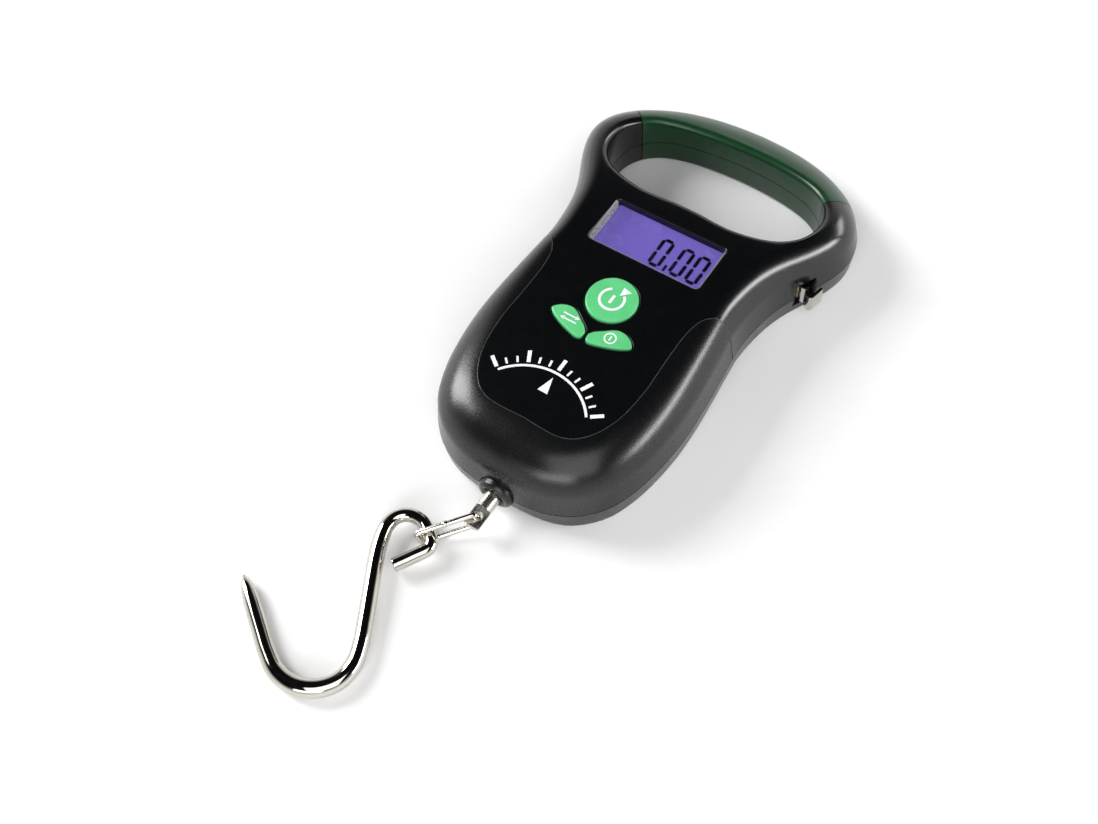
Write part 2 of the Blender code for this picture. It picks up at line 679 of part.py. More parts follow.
def build_load_cell():
    beam = box("load_cell", (-18.5, -43.5, 3.4), (18.5, -32.5, 12.6), ((0.7, 0.71, 0.72), 0.35, 1.0))
    for index, x in enumerate((-4.2, 4.2), 1):
        boolean(beam, cylinder(f"beam_bore_{index}", 3.4, (x, -38.0, 0), (x, -38.0, 16), segments=28))
    boolean(beam, box("beam_web", (-4.2, -39.5, 0), (4.2, -36.5, 16)))
    gauge = ((0.75, 0.6, 0.25), 0.5)
    box("strain_gauge_outer", (-3.5, -43.9, 5.0), (3.5, -43.6, 11.0), gauge)
    box("strain_gauge_inner", (-3.5, -32.4, 5.0), (3.5, -32.1, 11.0), gauge)

    yoke = box("load_yoke", (-6.5, -49.5, 3.8), (17.5, -47.5, 12.2), STEEL)
    boolean(yoke, box("yoke_pad", (9.0, -48.5, 3.8), (17.5, -43.8, 12.2)), "UNION")
    boolean(yoke, cylinder("yoke_hole", 2.6, (0, -55, 8), (0, -46, 8)))
    anchor = box("anchor_bracket", (-25.6, -32.2, 2.4), (-8.0, -30.4, 12.4), STEEL)
    boolean(anchor, box("anchor_foot", (-25.6, -36.5, 2.4), (-21.9, -26.4, 3.9)), "UNION")

    screw = [(0, 0), (1.9, 0), (1.9, 1.3), (1.0, 1.3), (1.0, 7.6), (0, 7.6)]
    for index, x in enumerate((11.0, 15.4), 1):
        boolean(yoke, cylinder(f"yoke_screw_way_{index}", 1.2, (x, -52, 8), (x, -42, 8), segments=16))
        boolean(beam, cylinder(f"yoke_thread_{index}", 1.1, (x, -45, 8), (x, -38.6, 8), segments=16))
        long_screw = [(r, z + (3.0 if z > 1.4 else 0)) for r, z in screw]
        turned(f"yoke_screw_{index}", long_screw, (x, -50.9, 8), (x, 0, 8), STEEL, 12)
    for index, x in enumerate((-11.0, -15.4), 1):
        boolean(anchor, cylinder(f"anchor_screw_way_{index}", 1.2, (x, -34, 8), (x, -28, 8), segments=16))
        boolean(beam, cylinder(f"anchor_thread_{index}", 1.1, (x, -31, 8), (x, -38, 8), segments=16))
        turned(f"anchor_screw_{index}", screw, (x, -29.0, 8), (x, -60, 8), STEEL, 12)
    floor = [(0, 0), (1.8, 0), (1.8, 1.1), (0.9, 1.1), (0.9, 4.0), (0, 4.0)]
    for index, y in enumerate((-34.4, -28.3), 1):
        boolean(anchor, cylinder(f"floor_screw_way_{index}", 1.1, (-24.2, y, 0), (-24.2, y, 6), segments=16))
        turned(f"floor_screw_{index}", floor, (-24.2, y, 5.1), (-24.2, y, 0), STEEL, 12)
        boolean(
            bpy.data.objects["rear_cover"],
            cylinder(f"floor_thread_{index}", 1.05, (-24.2, y, 0.9), (-24.2, y, 3.2), segments=16),
        )


def build_stem():
    bush_profile = [(2.6, 0.0), (4.4, 0.0), (5.2, 0.8), (5.2, 6.6), (2.6, 6.6)]
    turned("stem_bush", bush_profile, (0, -58.9, 8), (0, 0, 8), MATTE_BLACK, 32)
    stem = cylinder("stem", 2.35, (0, -68.9, 8), (0, -44.4, 8), CHROME, 32)
    boolean(stem, box("stem_flat", (-4, -72, 8.1), (4, -63.3, 12)))
    boolean(stem, cylinder("stem_hole", 1.25, (0, -65.7, 3), (0, -65.7, 11), segments=24))
    bevel(stem, 0.2 * MM, 1, 50)
    washer = [(2.45, 0), (4.4, 0), (4.4, 0.6), (2.45, 0.6)]
    turned("thrust_washer", washer, (0, -47.35, 8), (0, 0, 8), STEEL, 32)
    nut = cylinder("stem_nut", 4.3, (0, -46.65, 8), (0, -44.5, 8), STEEL, 6)
    boolean(nut, cylinder("nut_hole", 2.36, (0, -50, 8), (0, -42, 8), segments=32))


def build_link_and_hook():
    along = (LINK_END - LINK_START).normalized()
    across = Vector((0, 0, 1)) - along * along.z
    across.normalize()
    length = (LINK_END - LINK_START).length
    end_radius = LINK_WIDTH / 2
    points = []
    corner = 1.2 * MM
    flat = end_radius - corner
    for centre, base in ((LINK_END - along * corner, 1), (LINK_START + along * corner, -1)):
        for side in (1, -1):
            for i in range(6):
                angle = math.pi / 2 * i / 5
                if side < 0:
                    reach, lift = math.cos(angle), math.sin(angle)
                else:
                    reach, lift = math.sin(angle), math.cos(angle)
                offset = along * base * corner * reach
                offset += across * side * base * (flat + corner * lift)
                points.append(centre + offset)
    wire("chain_link", [tuple(p) for p in points], LINK_WIRE, CHROME, cyclic=True)

    path = smooth_path(HOOK_PATH, 76)
    points = [(x * MM, y * MM, z * MM) for x, y, z, _ in path]
    wire("s_hook", points, HOOK_WIRE, CHROME, shares=[p[3] for p in path])


def build_batteries():
    cell = [
        (0, 0), (3.2, 0), (3.2, 0.4), (4.9, 0.4), (5.25, 0.8), (5.25, 42.6), (4.9, 43.0), (1.9, 43.0), (1.9, 44.0),
        (0, 44.0),
    ]
    turned("cell_left", cell, (-18.7, -23.6, 7.7), (-18.7, 50, 7.7), ((0.1, 0.1, 0.12), 0.3, 0.6), 24)
    turned("cell_right", cell, (-7.5, 20.4, 7.7), (-7.5, -50, 7.7), ((0.1, 0.1, 0.12), 0.3, 0.6), 24)
    box("contact_bridge", (-22.9, 20.9, 3.0), (-3.3, 21.3, 12.0), BRASS)
    box("contact_plus", (-11.5, -27.4, 3.0), (-3.5, -27.0, 12.0), BRASS)
    turns = 3
    count = 10 * turns
    coil = []
    for i in range(count + 1):
        angle = 2 * math.pi * i / 10
        radius = (3.4 - 1.6 * i / count) * MM
        coil.append((
            CELL_X[0] + radius * math.cos(angle),
            (-27.2 + 3.0 * i / count) * MM,
            CELL_Z + radius * math.sin(angle),
        ))
    wire("contact_spring", coil, 0.22 * MM, STEEL)


def build_tape():
    x, y = REEL_CENTRE[0] / MM, REEL_CENTRE[1] / MM
    reel = [
        (2.2, 0), (13.2, 0), (13.2, 0.7), (8.3, 0.7), (8.3, 7.9), (13.2, 7.9), (13.2, 8.6), (8.3, 8.6), (6.9, 8.6),
        (6.9, 1.2), (2.2, 1.2),
    ]
    turned("tape_reel", reel, (x, y, 3.6), (x, y, 30), ((0.75, 0.75, 0.72), 0.5), 24)
    coil = [(8.6, 0), (12.0, 0), (12.0, 6.0), (8.6, 6.0)]
    turned("tape_coil", coil, (x, y, 5.0), (x, y, 30), ((0.85, 0.82, 0.5), 0.5), 28)
    axle = [(0, 0), (1.9, 0), (1.9, 9.4), (0, 9.4)]
    turned("reel_axle", axle, (x, y, 2.3), (x, y, 30), STEEL, 24)
    spiral = []
    for i in range(43):
        angle = 2 * math.pi * i / 14
        radius = (2.8 + 3.4 * i / 42) * MM
        spiral.append((REEL_CENTRE[0] + radius * math.cos(angle), REEL_CENTRE[1] + radius * math.sin(angle)))
    band = [(px + (px - REEL_CENTRE[0]) * 0.03, py + (py - REEL_CENTRE[1]) * 0.03) for px, py in spiral]
    prism("reel_spring", spiral + band[::-1], 5.2 * MM, 11.2 * MM, STEEL)

    pin = [(0, 0), (1.1, 0), (1.1, 10.0), (0, 10.0)]
    turned("tape_pin", pin, (29.6, 39.0, 2.3), (29.6, 39.0, 30), STEEL, 16)
    guide = box("tape_guide", (34.7, 39.1, 4.3), (36.2, 42.1, 11.9), MATTE_BLACK)
    boolean(guide, box("guide_slot", (34, 40.1, 4.8), (40, 41.0, 11.2)))

    middle = Vector(REEL_CENTRE)
    pin_at = Vector((29.6 * MM, 39.0 * MM))
    leave = math.radians(118.0)
    start = middle + Vector((math.cos(leave), math.sin(leave))) * 12.5 * MM
    path = [start]
    for degrees in (112, 104, 97, 90):
        turn = math.radians(degrees)
        path.append(pin_at + Vector((math.cos(turn), math.sin(turn))) * 1.55 * MM)
    path.append(Vector((38.0 * MM, pin_at.y + 1.55 * MM)))
    normals = []
    for index in range(len(path)):
        a = path[max(index - 1, 0)]
        b = path[min(index + 1, len(path) - 1)]
        step = (b - a).normalized()
        normals.append(Vector((-step.y, step.x)))
    upper = [tuple(p + n * 0.15 * MM) for p, n in zip(path, normals)]
    lower = [tuple(p - n * 0.15 * MM) for p, n in zip(path, normals)]
    prism("tape_blade", upper + lower[::-1], TAPE_Z[0], TAPE_Z[1], ((0.85, 0.82, 0.5), 0.5))
    tab = [
        (38.3, 40.1), (39.8, 38.3), (40.8, 37.8), (41.7, 38.3), (42.7, 42.6), (41.9, 42.8), (41.0, 39.1), (40.7, 38.8),
        (40.2, 39.1), (38.9, 40.9), (38.3, 41.0),
    ]
    prism("tape_end_tab", [(px * MM, py * MM) for px, py in tab], 5.0 * MM, 11.0 * MM, CHROME)


def build_ribbon():
    """Flat cable from the inner gauge up to the board."""
    path = [(-31.9, 8.0), (-31.4, 9.4), (-30.6, 11.4), (-29.4, 13.2), (-24.0, 14.0), (-17.6, 14.2), (-14.4, 14.9)]
    points = resample(smooth_path(path, 60), 18)
    upper = []
    lower = []
    for index, (y, z) in enumerate(points):
        a = points[max(index - 1, 0)]
        b = points[min(index + 1, len(points) - 1)]
        step = Vector((b[0] - a[0], b[1] - a[1])).normalized()
        upper.append((y - step.y * 0.12, z + step.x * 0.12))
        lower.append((y + step.y * 0.12, z - step.x * 0.12))
    outline = upper + lower[::-1]

    def build(work):
        first = [work.verts.new((-2.5 * MM, y * MM, z * MM)) for y, z in outline]
        face = work.faces.new(first)
        made = bmesh.ops.extrude_face_region(work, geom=[face])
        far = [item for item in made["geom"] if isinstance(item, bmesh.types.BMVert)]
        bmesh.ops.translate(work, verts=far, vec=(5 * MM, 0, 0))

    add_object("gauge_ribbon", to_mesh("gauge_ribbon", build), ((0.55, 0.3, 0.08), 0.5))


def build_case_screws():
    profile = [(0, 0), (2.3, 0), (2.3, 1.5), (1.1, 1.5), (1.1, 10.4), (0, 10.4)]
    for index, (x, y) in enumerate(CASE_SCREWS, 1):
        turned(f"case_screw_{index}", profile, (x, y, 0.9), (x, y, 30), STEEL, 16)


clear_scene()
PARTS = make_collection("digital_fish_scale")
CUTTERS = make_collection("cutters", hidden=True)
build_housing()
build_handle_core()
build_display()
build_board()
build_buttons()
build_load_cell()
build_stem()
build_link_and_hook()
build_batteries()
build_tape()
build_ribbon()
build_case_screws()
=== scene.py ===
"""Looks of the digital fish scale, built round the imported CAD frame.  Lengths are in millimetres unless said."""

import math

import bmesh
import bpy
from mathutils import Matrix, Vector
from mathutils.bvhtree import BVHTree


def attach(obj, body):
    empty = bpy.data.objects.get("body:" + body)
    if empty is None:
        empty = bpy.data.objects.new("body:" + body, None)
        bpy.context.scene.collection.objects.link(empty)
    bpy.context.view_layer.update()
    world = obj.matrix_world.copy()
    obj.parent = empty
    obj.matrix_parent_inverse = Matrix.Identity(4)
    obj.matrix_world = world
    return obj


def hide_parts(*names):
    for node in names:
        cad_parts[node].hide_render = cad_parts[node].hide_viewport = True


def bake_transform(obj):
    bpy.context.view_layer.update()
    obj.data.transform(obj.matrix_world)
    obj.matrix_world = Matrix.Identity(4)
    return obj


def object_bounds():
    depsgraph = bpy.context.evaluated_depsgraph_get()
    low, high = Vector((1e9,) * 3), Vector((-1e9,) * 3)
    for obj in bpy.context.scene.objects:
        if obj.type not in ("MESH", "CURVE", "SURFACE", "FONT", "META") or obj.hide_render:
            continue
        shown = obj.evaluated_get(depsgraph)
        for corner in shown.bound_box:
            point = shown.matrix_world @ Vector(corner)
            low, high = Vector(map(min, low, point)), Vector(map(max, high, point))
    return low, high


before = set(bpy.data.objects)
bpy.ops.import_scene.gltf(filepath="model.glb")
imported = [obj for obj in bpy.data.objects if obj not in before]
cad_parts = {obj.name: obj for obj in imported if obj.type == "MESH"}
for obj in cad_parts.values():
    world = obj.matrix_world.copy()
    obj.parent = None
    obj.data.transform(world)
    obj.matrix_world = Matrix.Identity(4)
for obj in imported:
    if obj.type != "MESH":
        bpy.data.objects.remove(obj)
cad_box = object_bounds()

MM = 0.001

# Housing form, as in the CAD
THICKNESS = 25.5
PARTING_Z = 8.0
PARTING_GAP = 0.3
WALL = 2.0
SAG_START_Y = 14.0
SAG_RATE = 0.0028
WALL_SHARE = 0.4
WALL_DRAFT = 0.9
REAR_DRAFT = 0.5
FRONT_EXPONENT = 1.9
RING_POINTS = 72
SLOT_POINTS = 56
LEVELS = 13
FRONT_ROUND = (7.4, 6.8, 8.0, 67.0)
REAR_ROUND = (1.7, 3.4, -54.0, 4.0)
SHARP = 32.0
ROUND_SHARP = 50.0
PROBE = 0.06
HOUSING_PROFILE = [
    (0.0, -57.6), (8.5, -56.9), (13.9, -55.9), (19.3, -53.6), (23.2, -50.9), (27.2, -46.5), (29.8, -41.5),
    (32.1, -33.9), (33.5, -25.0), (34.0, -17.0), (33.8, -8.7), (33.1, 1.0), (32.4, 9.0), (32.0, 15.0), (32.3, 20.0),
    (33.1, 25.5), (34.4, 31.0), (36.5, 36.5), (38.9, 41.3), (41.2, 46.0), (43.1, 50.8), (44.2, 56.0), (43.8, 61.2),
    (41.9, 66.3), (38.5, 71.1), (34.4, 75.0), (28.7, 78.8), (22.4, 81.7), (14.6, 83.9), (7.3, 84.9), (0.0, 85.3),
]
SLOT_PROFILE = [
    (0.0, 39.9), (4.5, 39.8), (9.0, 39.4), (14.0, 39.3), (18.5, 39.9), (22.5, 40.9), (26.4, 42.5), (29.4, 44.8),
    (31.6, 47.6), (33.0, 51.2), (33.5, 55.2), (33.0, 59.2), (31.3, 63.0), (28.4, 66.3), (24.4, 68.8), (18.8, 70.6),
    (12.5, 71.7), (6.3, 72.3), (0.0, 72.5),
]
SLOT_RIM = 2.2
SLOT_REAR_RIM = 1.4
SHROUD_SKIN = 1.1
SHROUD_SEAT = 1.4
SHROUD_JOINT = 0.15
TONGUE_PROFILE = [
    (0.0, -42.4), (6.6, -42.7), (11.0, -42.4), (14.4, -41.0), (17.0, -38.6), (19.1, -35.4), (20.6, -31.8),
    (21.6, -28.0), (22.2, -23.0), (22.5, -18.0), (22.3, -12.0), (22.2, -5.0), (22.3, 0.0), (22.8, 3.8), (23.7, 6.6),
    (25.4, 8.9), (28.5, 10.6), (45.0, 11.2),
]
GRIP_OUTER = (45.0, 80.0)
GRIP_INNER = (27.0, 61.2)
GRIP_JOINT = 0.15
WINDOW = (-17.7, 14.9, 17.7, 31.4)
WINDOW_CORNER = 1.4
ZERO_RADIUS = 7.2
BUTTON_CLEAR = 0.3
LEAF_PROFILE = [
    (0.5, -12.5), (1.6, -11.1), (3.4, -9.8), (5.4, -8.3), (7.2, -7.5), (9.2, -7.6), (11.2, -8.6), (12.5, -10.1),
    (12.2, -10.9), (10.4, -12.1), (7.4, -13.4), (4.2, -14.4), (2.0, -14.9), (0.8, -14.4),
]
DOOR = (-24.6, -25.6, -1.6, 25.5)
CASE_SCREWS = [(28.2, -17.0), (-28.2, -17.0), (38.9, 57.2), (-38.9, 57.2)]
HOOK_PATH = [
    (-12.2, -87.55, 3.8, 1.0), (-10.6, -85.05, 3.9, 1.0), (-8.8, -82.15, 4.1, 1.0),
    (-7.2, -79.45, 4.25, 1.0), (-7.3, -77.45, 4.35, 1.0), (-9.25, -75.6, 4.4, 1.0),
    (-12.7, -73.55, 4.35, 1.0), (-16.5, -73.55, 4.25, 1.0), (-19.3, -75.45, 4.1, 1.0),
    (-20.35, -78.7, 3.95, 1.05), (-19.5, -82.9, 3.85, 1.1), (-17.2, -88.25, 3.7, 1.12),
    (-13.5, -95.3, 3.4, 1.12), (-9.75, -102.3, 3.1, 1.12), (-6.5, -108.7, 2.85, 1.13),
    (-4.7, -114.2, 2.7, 1.18), (-5.4, -119.6, 2.65, 1.25), (-8.9, -123.95, 2.62, 1.31),
    (-14.3, -126.35, 2.62, 1.32), (-20.1, -126.0, 2.6, 1.27), (-25.3, -123.4, 2.5, 1.2),
    (-30.4, -120.0, 2.4, 1.17), (-35.3, -116.6, 2.4, 1.15), (-39.1, -114.0, 2.4, 1.06),
    (-42.1, -111.9, 2.45, 0.78), (-44.3, -110.4, 2.5, 0.2),
]
HOOK_WIRE = 1.95
LINK_START = Vector((0.0, -65.7, 6.7))
LINK_END = Vector((-11.2, -77.8, 3.95))
LINK_WIRE = 0.75
LINK_WIDTH = 5.9


# ---------------------------------------------------------------- lines and outlines

def smooth_path(points, count):
    """Points at even parameter steps along a Catmull-Rom curve through the given ones."""
    padded = [points[0]] + list(points) + [points[-1]]
    spans = len(points) - 1
    made = []
    for index in range(count):
        position = index * spans / (count - 1)
        span = min(int(position), spans - 1)
        t = position - span
        p0, p1, p2, p3 = padded[span:span + 4]
        made.append(tuple(
            0.5 * (2 * b + (c - a) * t + (2 * a - 5 * b + 4 * c - d) * t * t + (3 * b - a - 3 * c + d) * t ** 3)
            for a, b, c, d in zip(p0, p1, p2, p3)
        ))
    return made


def resample(points, count):
    """The same line with its points evenly spaced by length."""
    lengths = [0.0]
    for a, b in zip(points, points[1:]):
        lengths.append(lengths[-1] + math.dist(a, b))
    made = []
    cursor = 0
    for index in range(count):
        goal = lengths[-1] * index / (count - 1)
        while cursor < len(points) - 2 and lengths[cursor + 1] < goal:
            cursor += 1
        t = (goal - lengths[cursor]) / (lengths[cursor + 1] - lengths[cursor])
        made.append(tuple(a + (b - a) * t for a, b in zip(points[cursor], points[cursor + 1])))
    return made


def half_outline(profile, count=RING_POINTS):
    return resample(smooth_path(profile, 12 * len(profile)), count)


def fitted(half):
    """Housing outline drawn in sideways so that it stays within the CAD box."""
    widest = max(x for x, _ in half)
    share = min(1.0, cad_box[1][0] / MM / widest)
    return [(x * share, y) for x, y in half]


def moved_half(half, inset):
    """Half outline moved inwards by inset(y) along its own normals."""
    made = []
    last = len(half) - 1
    for i, (x, y) in enumerate(half):
        a, b = half[max(i - 1, 0)], half[min(i + 1, last)]
        dx, dy = b[0] - a[0], b[1] - a[1]
        size = math.hypot(dx, dy)
        nx, ny = dy / size, -dx / size
        if i == 0:
            nx, ny = 0.0, -1.0
        if i == last:
            nx, ny = 0.0, 1.0
        step = inset(y)
        made.append((0.0 if i in (0, last) else max(x - nx * step, 0.0), y - ny * step))
    return made


def front_height(y):
    return THICKNESS - SAG_RATE * max(0.0, y - SAG_START_Y) ** 2


def eased(y, rounding):
    """Edge radius at y: least, plus a gain that comes in from start towards -Y over a run."""
    least, gain, start, run = rounding
    return least + gain * min(max((start - y) / run, 0.0), 1.0)


def front_round(y):
    return eased(y, FRONT_ROUND)


def rear_round(y):
    return eased(y, REAR_ROUND)


def rounded_rectangle(x0, y0, x1, y1, radius, steps=6):
    made = []
    corners = ((x1 - radius, y1 - radius, 0), (x0 + radius, y1 - radius, 1),
               (x0 + radius, y0 + radius, 2), (x1 - radius, y0 + radius, 3))
    for cx, cy, quarter in corners:
        for i in range(steps + 1):
            angle = math.pi / 2 * (quarter + i / steps)
            made.append((cx + radius * math.cos(angle), cy + radius * math.sin(angle)))
    return made


def circle(x, y, radius, count=64):
    turns = [2 * math.pi * i / count for i in range(count)]
    return [(x + radius * math.cos(a), y + radius * math.sin(a)) for a in turns]


def grown(outline, amount):
    """Closed outline moved outwards by amount along its corner normals."""
    count = len(outline)
    area = sum(
        outline[i][0] * outline[(i + 1) % count][1] - outline[(i + 1) % count][0] * outline[i][1]
        for i in range(count)
    )
    turn = 1.0 if area > 0 else -1.0
    made = []
    for i in range(count):
        a, b, c = Vector(outline[i - 1]), Vector(outline[i]), Vector(outline[(i + 1) % count])
        first, second = (b - a).normalized(), (c - b).normalized()
        n1 = Vector((first.y, -first.x)) * turn
        n2 = Vector((second.y, -second.x)) * turn
        out = (n1 + n2).normalized()
        step = amount / max(out.dot(n1), 0.5)
        made.append((b.x + out.x * step, b.y + out.y * step))
    return made


def leaf_outline(side, count=60):
    closed = LEAF_PROFILE + LEAF_PROFILE[:1]
    return [(side * x, y) for x, y in resample(smooth_path(closed, 15 * len(closed)), count + 1)[:-1]]


# ---------------------------------------------------------------- bodies

def add_object(name, build, sharp=SHARP):
    """New mesh object from build(bmesh), whose lengths are millimetres."""
    work = bmesh.new()
    build(work)
    bmesh.ops.scale(work, vec=(MM, MM, MM), verts=work.verts)
    bmesh.ops.recalc_face_normals(work, faces=work.faces)
    mesh = bpy.data.meshes.new(name)
    work.to_mesh(mesh)
    work.free()
    return link_mesh(name, mesh, sharp)


def link_mesh(name, mesh, sharp=SHARP):
    made = bpy.data.objects.new(name, mesh)
    bpy.context.scene.collection.objects.link(made)
    mesh.shade_smooth()
    mesh.set_sharp_from_angle(angle=math.radians(sharp))
    return made


def stack(work, rings, closed=True):
    """Skin between rings of the same count of points, each (x, y, z), with a face over each end."""
    rows = [[work.verts.new(p) for p in ring] for ring in rings]
    count = len(rows[0])
    for low, high in zip(rows, rows[1:]):
        for i in range(count):
            j = (i + 1) % count
            work.faces.new((low[i], low[j], high[j], high[i]))
    if closed:
        work.faces.new(rows[0])
        work.faces.new(rows[-1])
    return rows


def loft(name, rings, height_of):
    """Closed body through symmetric half rings, capped with strips across X."""
    def build(work):
        full = []
        for level, half in enumerate(rings):
            right = [(x, y, height_of(level, y)) for x, y in half]
            left = [(-x, y, height_of(level, y)) for x, y in half[1:-1]]
            full.append(right + left[::-1])
        rows = stack(work, full, closed=False)
        count = len(rows[0])
        for row in (rows[0], rows[-1]):
            for i in range(len(rings[0]) - 1):
                ends = [row[i], row[i + 1], row[(count - i - 1) % count], row[(count - i) % count]]
                work.faces.new(list(dict.fromkeys(ends)))

    return add_object(name, build)


def front_loft(name, inset, drop, low):
    half = fitted(half_outline(HOUSING_PROFILE))
    shares = [0.0]
    rings = [moved_half(half, lambda y: inset)]
    for i in range(LEVELS):
        rise = math.sin(math.pi / 2 * i / (LEVELS - 1))
        run = 1.0 - (1.0 - rise ** FRONT_EXPONENT) ** (1.0 / FRONT_EXPONENT)
        shares.append(WALL_SHARE + (1.0 - WALL_SHARE) * rise)
        rings.append(moved_half(half, lambda y, run=run: inset + WALL_DRAFT + run * front_round(y)))
    if low < PARTING_Z:
        shares.insert(0, 0.0)
        rings.insert(0, rings[0])
    base = max(low, PARTING_Z)

    def height(level, y):
        if low < PARTING_Z and level == 0:
            return low
        return base + shares[level] * (front_height(y) - drop - base)

    return loft(name, rings, height)


def rear_loft(name, inset, floor, high, levels=7):
    half = fitted(half_outline(HOUSING_PROFILE))
    angles = [math.pi / 2 * (1 - i / (levels - 1)) for i in range(levels)]
    rings = [
        moved_half(half, lambda y, a=a: inset + REAR_DRAFT + rear_round(y) * (1 - math.cos(a))) for a in angles
    ]
    rings.append(moved_half(half, lambda y: inset))
    top = min(high, PARTING_Z - PARTING_GAP)

    def height(level, y):
        if level > levels:
            return high
        if level == levels:
            return top
        return floor + rear_round(y) * (1 - math.sin(angles[level]))

    if high > PARTING_Z:
        rings.append(rings[-1])
    return loft(name, rings, height)


def slot_wall(name):
    """The finger slot and the wall round it, straight through the housing."""
    ring = moved_half(half_outline(SLOT_PROFILE, SLOT_POINTS), lambda y: -WALL)
    return loft(name, [ring, ring], lambda level, y: (-5, 40)[level])


def slot_cutter(name, steps=6):
    """The finger slot, with a rounded rim at the back and at the front."""
    half = half_outline(SLOT_PROFILE, SLOT_POINTS)
    rows = [(SLOT_REAR_RIM, lambda y: -4.0)]
    for i in range(steps + 1):
        a = math.pi / 2 * i / steps
        rows.append((SLOT_REAR_RIM * (1 - math.sin(a)), lambda y, a=a: SLOT_REAR_RIM * (1 - math.cos(a))))
    for i in range(steps + 1):
        a = math.pi / 2 * i / steps
        rows.append((SLOT_RIM * (1 - math.cos(a)), lambda y, a=a: front_height(y) - SLOT_RIM * (1 - math.sin(a))))
    rows.append((SLOT_RIM, lambda y: front_height(y) + 5))
    rings = [moved_half(half, lambda y, o=offset: -o) for offset, _ in rows]
    return loft(name, rings, lambda level, y: rows[level][1](y))


def prism(name, outline, low, high):
    return add_object(name, lambda work: stack(work, [[(x, y, z) for x, y in outline] for z in (low, high)]))


def box(name, low, high):
    outline = [(low[0], low[1]), (high[0], low[1]), (high[0], high[1]), (low[0], high[1])]
    return prism(name, outline, low[2], high[2])


def opening(name, outline, low, edge=0.3, steps=4):
    """Cutter whose rim opens out in a small rounding where it leaves the front face."""
    rows = [(0.0, lambda y: low)]
    for i in range(steps + 1):
        a = math.pi / 2 * i / steps
        rows.append((edge * (1 - math.cos(a)), lambda y, a=a: front_height(y) - edge * (1 - math.sin(a))))
    rows.append((edge, lambda y: front_height(y) + 3))
    rings = [[(x, y, height(y)) for x, y in grown(outline, offset)] for offset, height in rows]
    return add_object(name, lambda work: stack(work, rings))


def cylinder(name, radius, start, end, segments=48):
    first, last = Vector(start), Vector(end)
    along = last - first
    turn = along.to_track_quat("Z", "Y").to_matrix().to_4x4()
    matrix = Matrix.Translation((first + last) / 2) @ turn
    return add_object(name, lambda work: bmesh.ops.create_cone(
        work, cap_ends=True, segments=segments, radius1=radius, radius2=radius, depth=along.length, matrix=matrix))


def turned(name, profile, start, end, steps=64, sharp=SHARP):
    """Round part from a closed (radius, height) profile on the axis from start towards end."""
    along = Vector(end) - Vector(start)
    matrix = Matrix.Translation(Vector(start)) @ along.to_track_quat("Z", "Y").to_matrix().to_4x4()

    def build(work):
        points = [work.verts.new((r, 0.0, z)) for r, z in profile]
        pairs = zip(points, points[1:] + points[:1])
        edges = [work.edges.new(pair) for pair in pairs if max(v.co.x for v in pair) > 0]
        bmesh.ops.spin(work, geom=points + edges, cent=(0, 0, 0), axis=(0, 0, 1), angle=2 * math.pi, steps=steps,
                       use_merge=True)
        bmesh.ops.remove_doubles(work, verts=work.verts, dist=1e-3)
        bmesh.ops.transform(work, matrix=matrix, verts=work.verts)

    return add_object(name, build, sharp)


def wire(name, points, radius, shares=None, cyclic=False, sides=24):
    """Round wire through points; shares scales its radius at each point."""
    count = len(points)
    spots = [Vector(p) for p in points]

    def build(work):
        rings = []
        normal = None
        for i, spot in enumerate(spots):
            before = spots[i - 1] if i or cyclic else spot
            after = spots[(i + 1) % count] if i < count - 1 or cyclic else spot
            along = (after - before).normalized()
            if normal is None:
                normal = along.orthogonal()
            normal = (normal - along * normal.dot(along)).normalized()
            other = along.cross(normal)
            size = radius * (shares[i] if shares else 1.0)
            rings.append([
                spot + (normal * math.cos(a) + other * math.sin(a)) * size
                for a in (2 * math.pi * k / sides for k in range(sides))
            ])
        rows = stack(work, rings, closed=not cyclic)
        if cyclic:
            first, last = rows[0], rows[-1]
            shift = min(range(sides), key=lambda s: (last[0].co - first[s].co).length)
            for k in range(sides):
                n = (k + 1) % sides
                work.faces.new((last[k], last[n], first[(n + shift) % sides], first[(k + shift) % sides]))

    return add_object(name, build, ROUND_SHARP)


def bake(target):
    """Keep what an object's modifiers make of it as its own mesh."""
    bpy.context.view_layer.update()
    depsgraph = bpy.context.evaluated_depsgraph_get()
    target.data = bpy.data.meshes.new_from_object(target.evaluated_get(depsgraph))
    target.modifiers.clear()


def combine(target, others, operation="DIFFERENCE", flat=False):
    """Boolean target with each of the others in turn, keep the result as its mesh, and remove the others.
    With flat, large faces keep their own normals right up to their edges.  With no others, the modifiers
    that target already has are kept in the same way."""
    for other in others:
        step = target.modifiers.new("cut", "BOOLEAN")
        step.operation = operation
        step.solver = "EXACT"
        step.object = other
    bake(target)
    for other in others:
        bpy.data.objects.remove(other, do_unlink=True)
    target.data.shade_smooth()
    target.data.set_sharp_from_angle(angle=math.radians(SHARP))
    if flat:
        level = target.modifiers.new("level", "WEIGHTED_NORMAL")
        level.keep_sharp = True
        level.weight = 80
        bake(target)
    return target


def joined(name, pieces):
    """One object from several."""
    work = bmesh.new()
    for piece in pieces:
        work.from_mesh(piece.data)
        bpy.data.objects.remove(piece, do_unlink=True)
    mesh = bpy.data.meshes.new(name)
    work.to_mesh(mesh)
    work.free()
    return link_mesh(name, mesh)


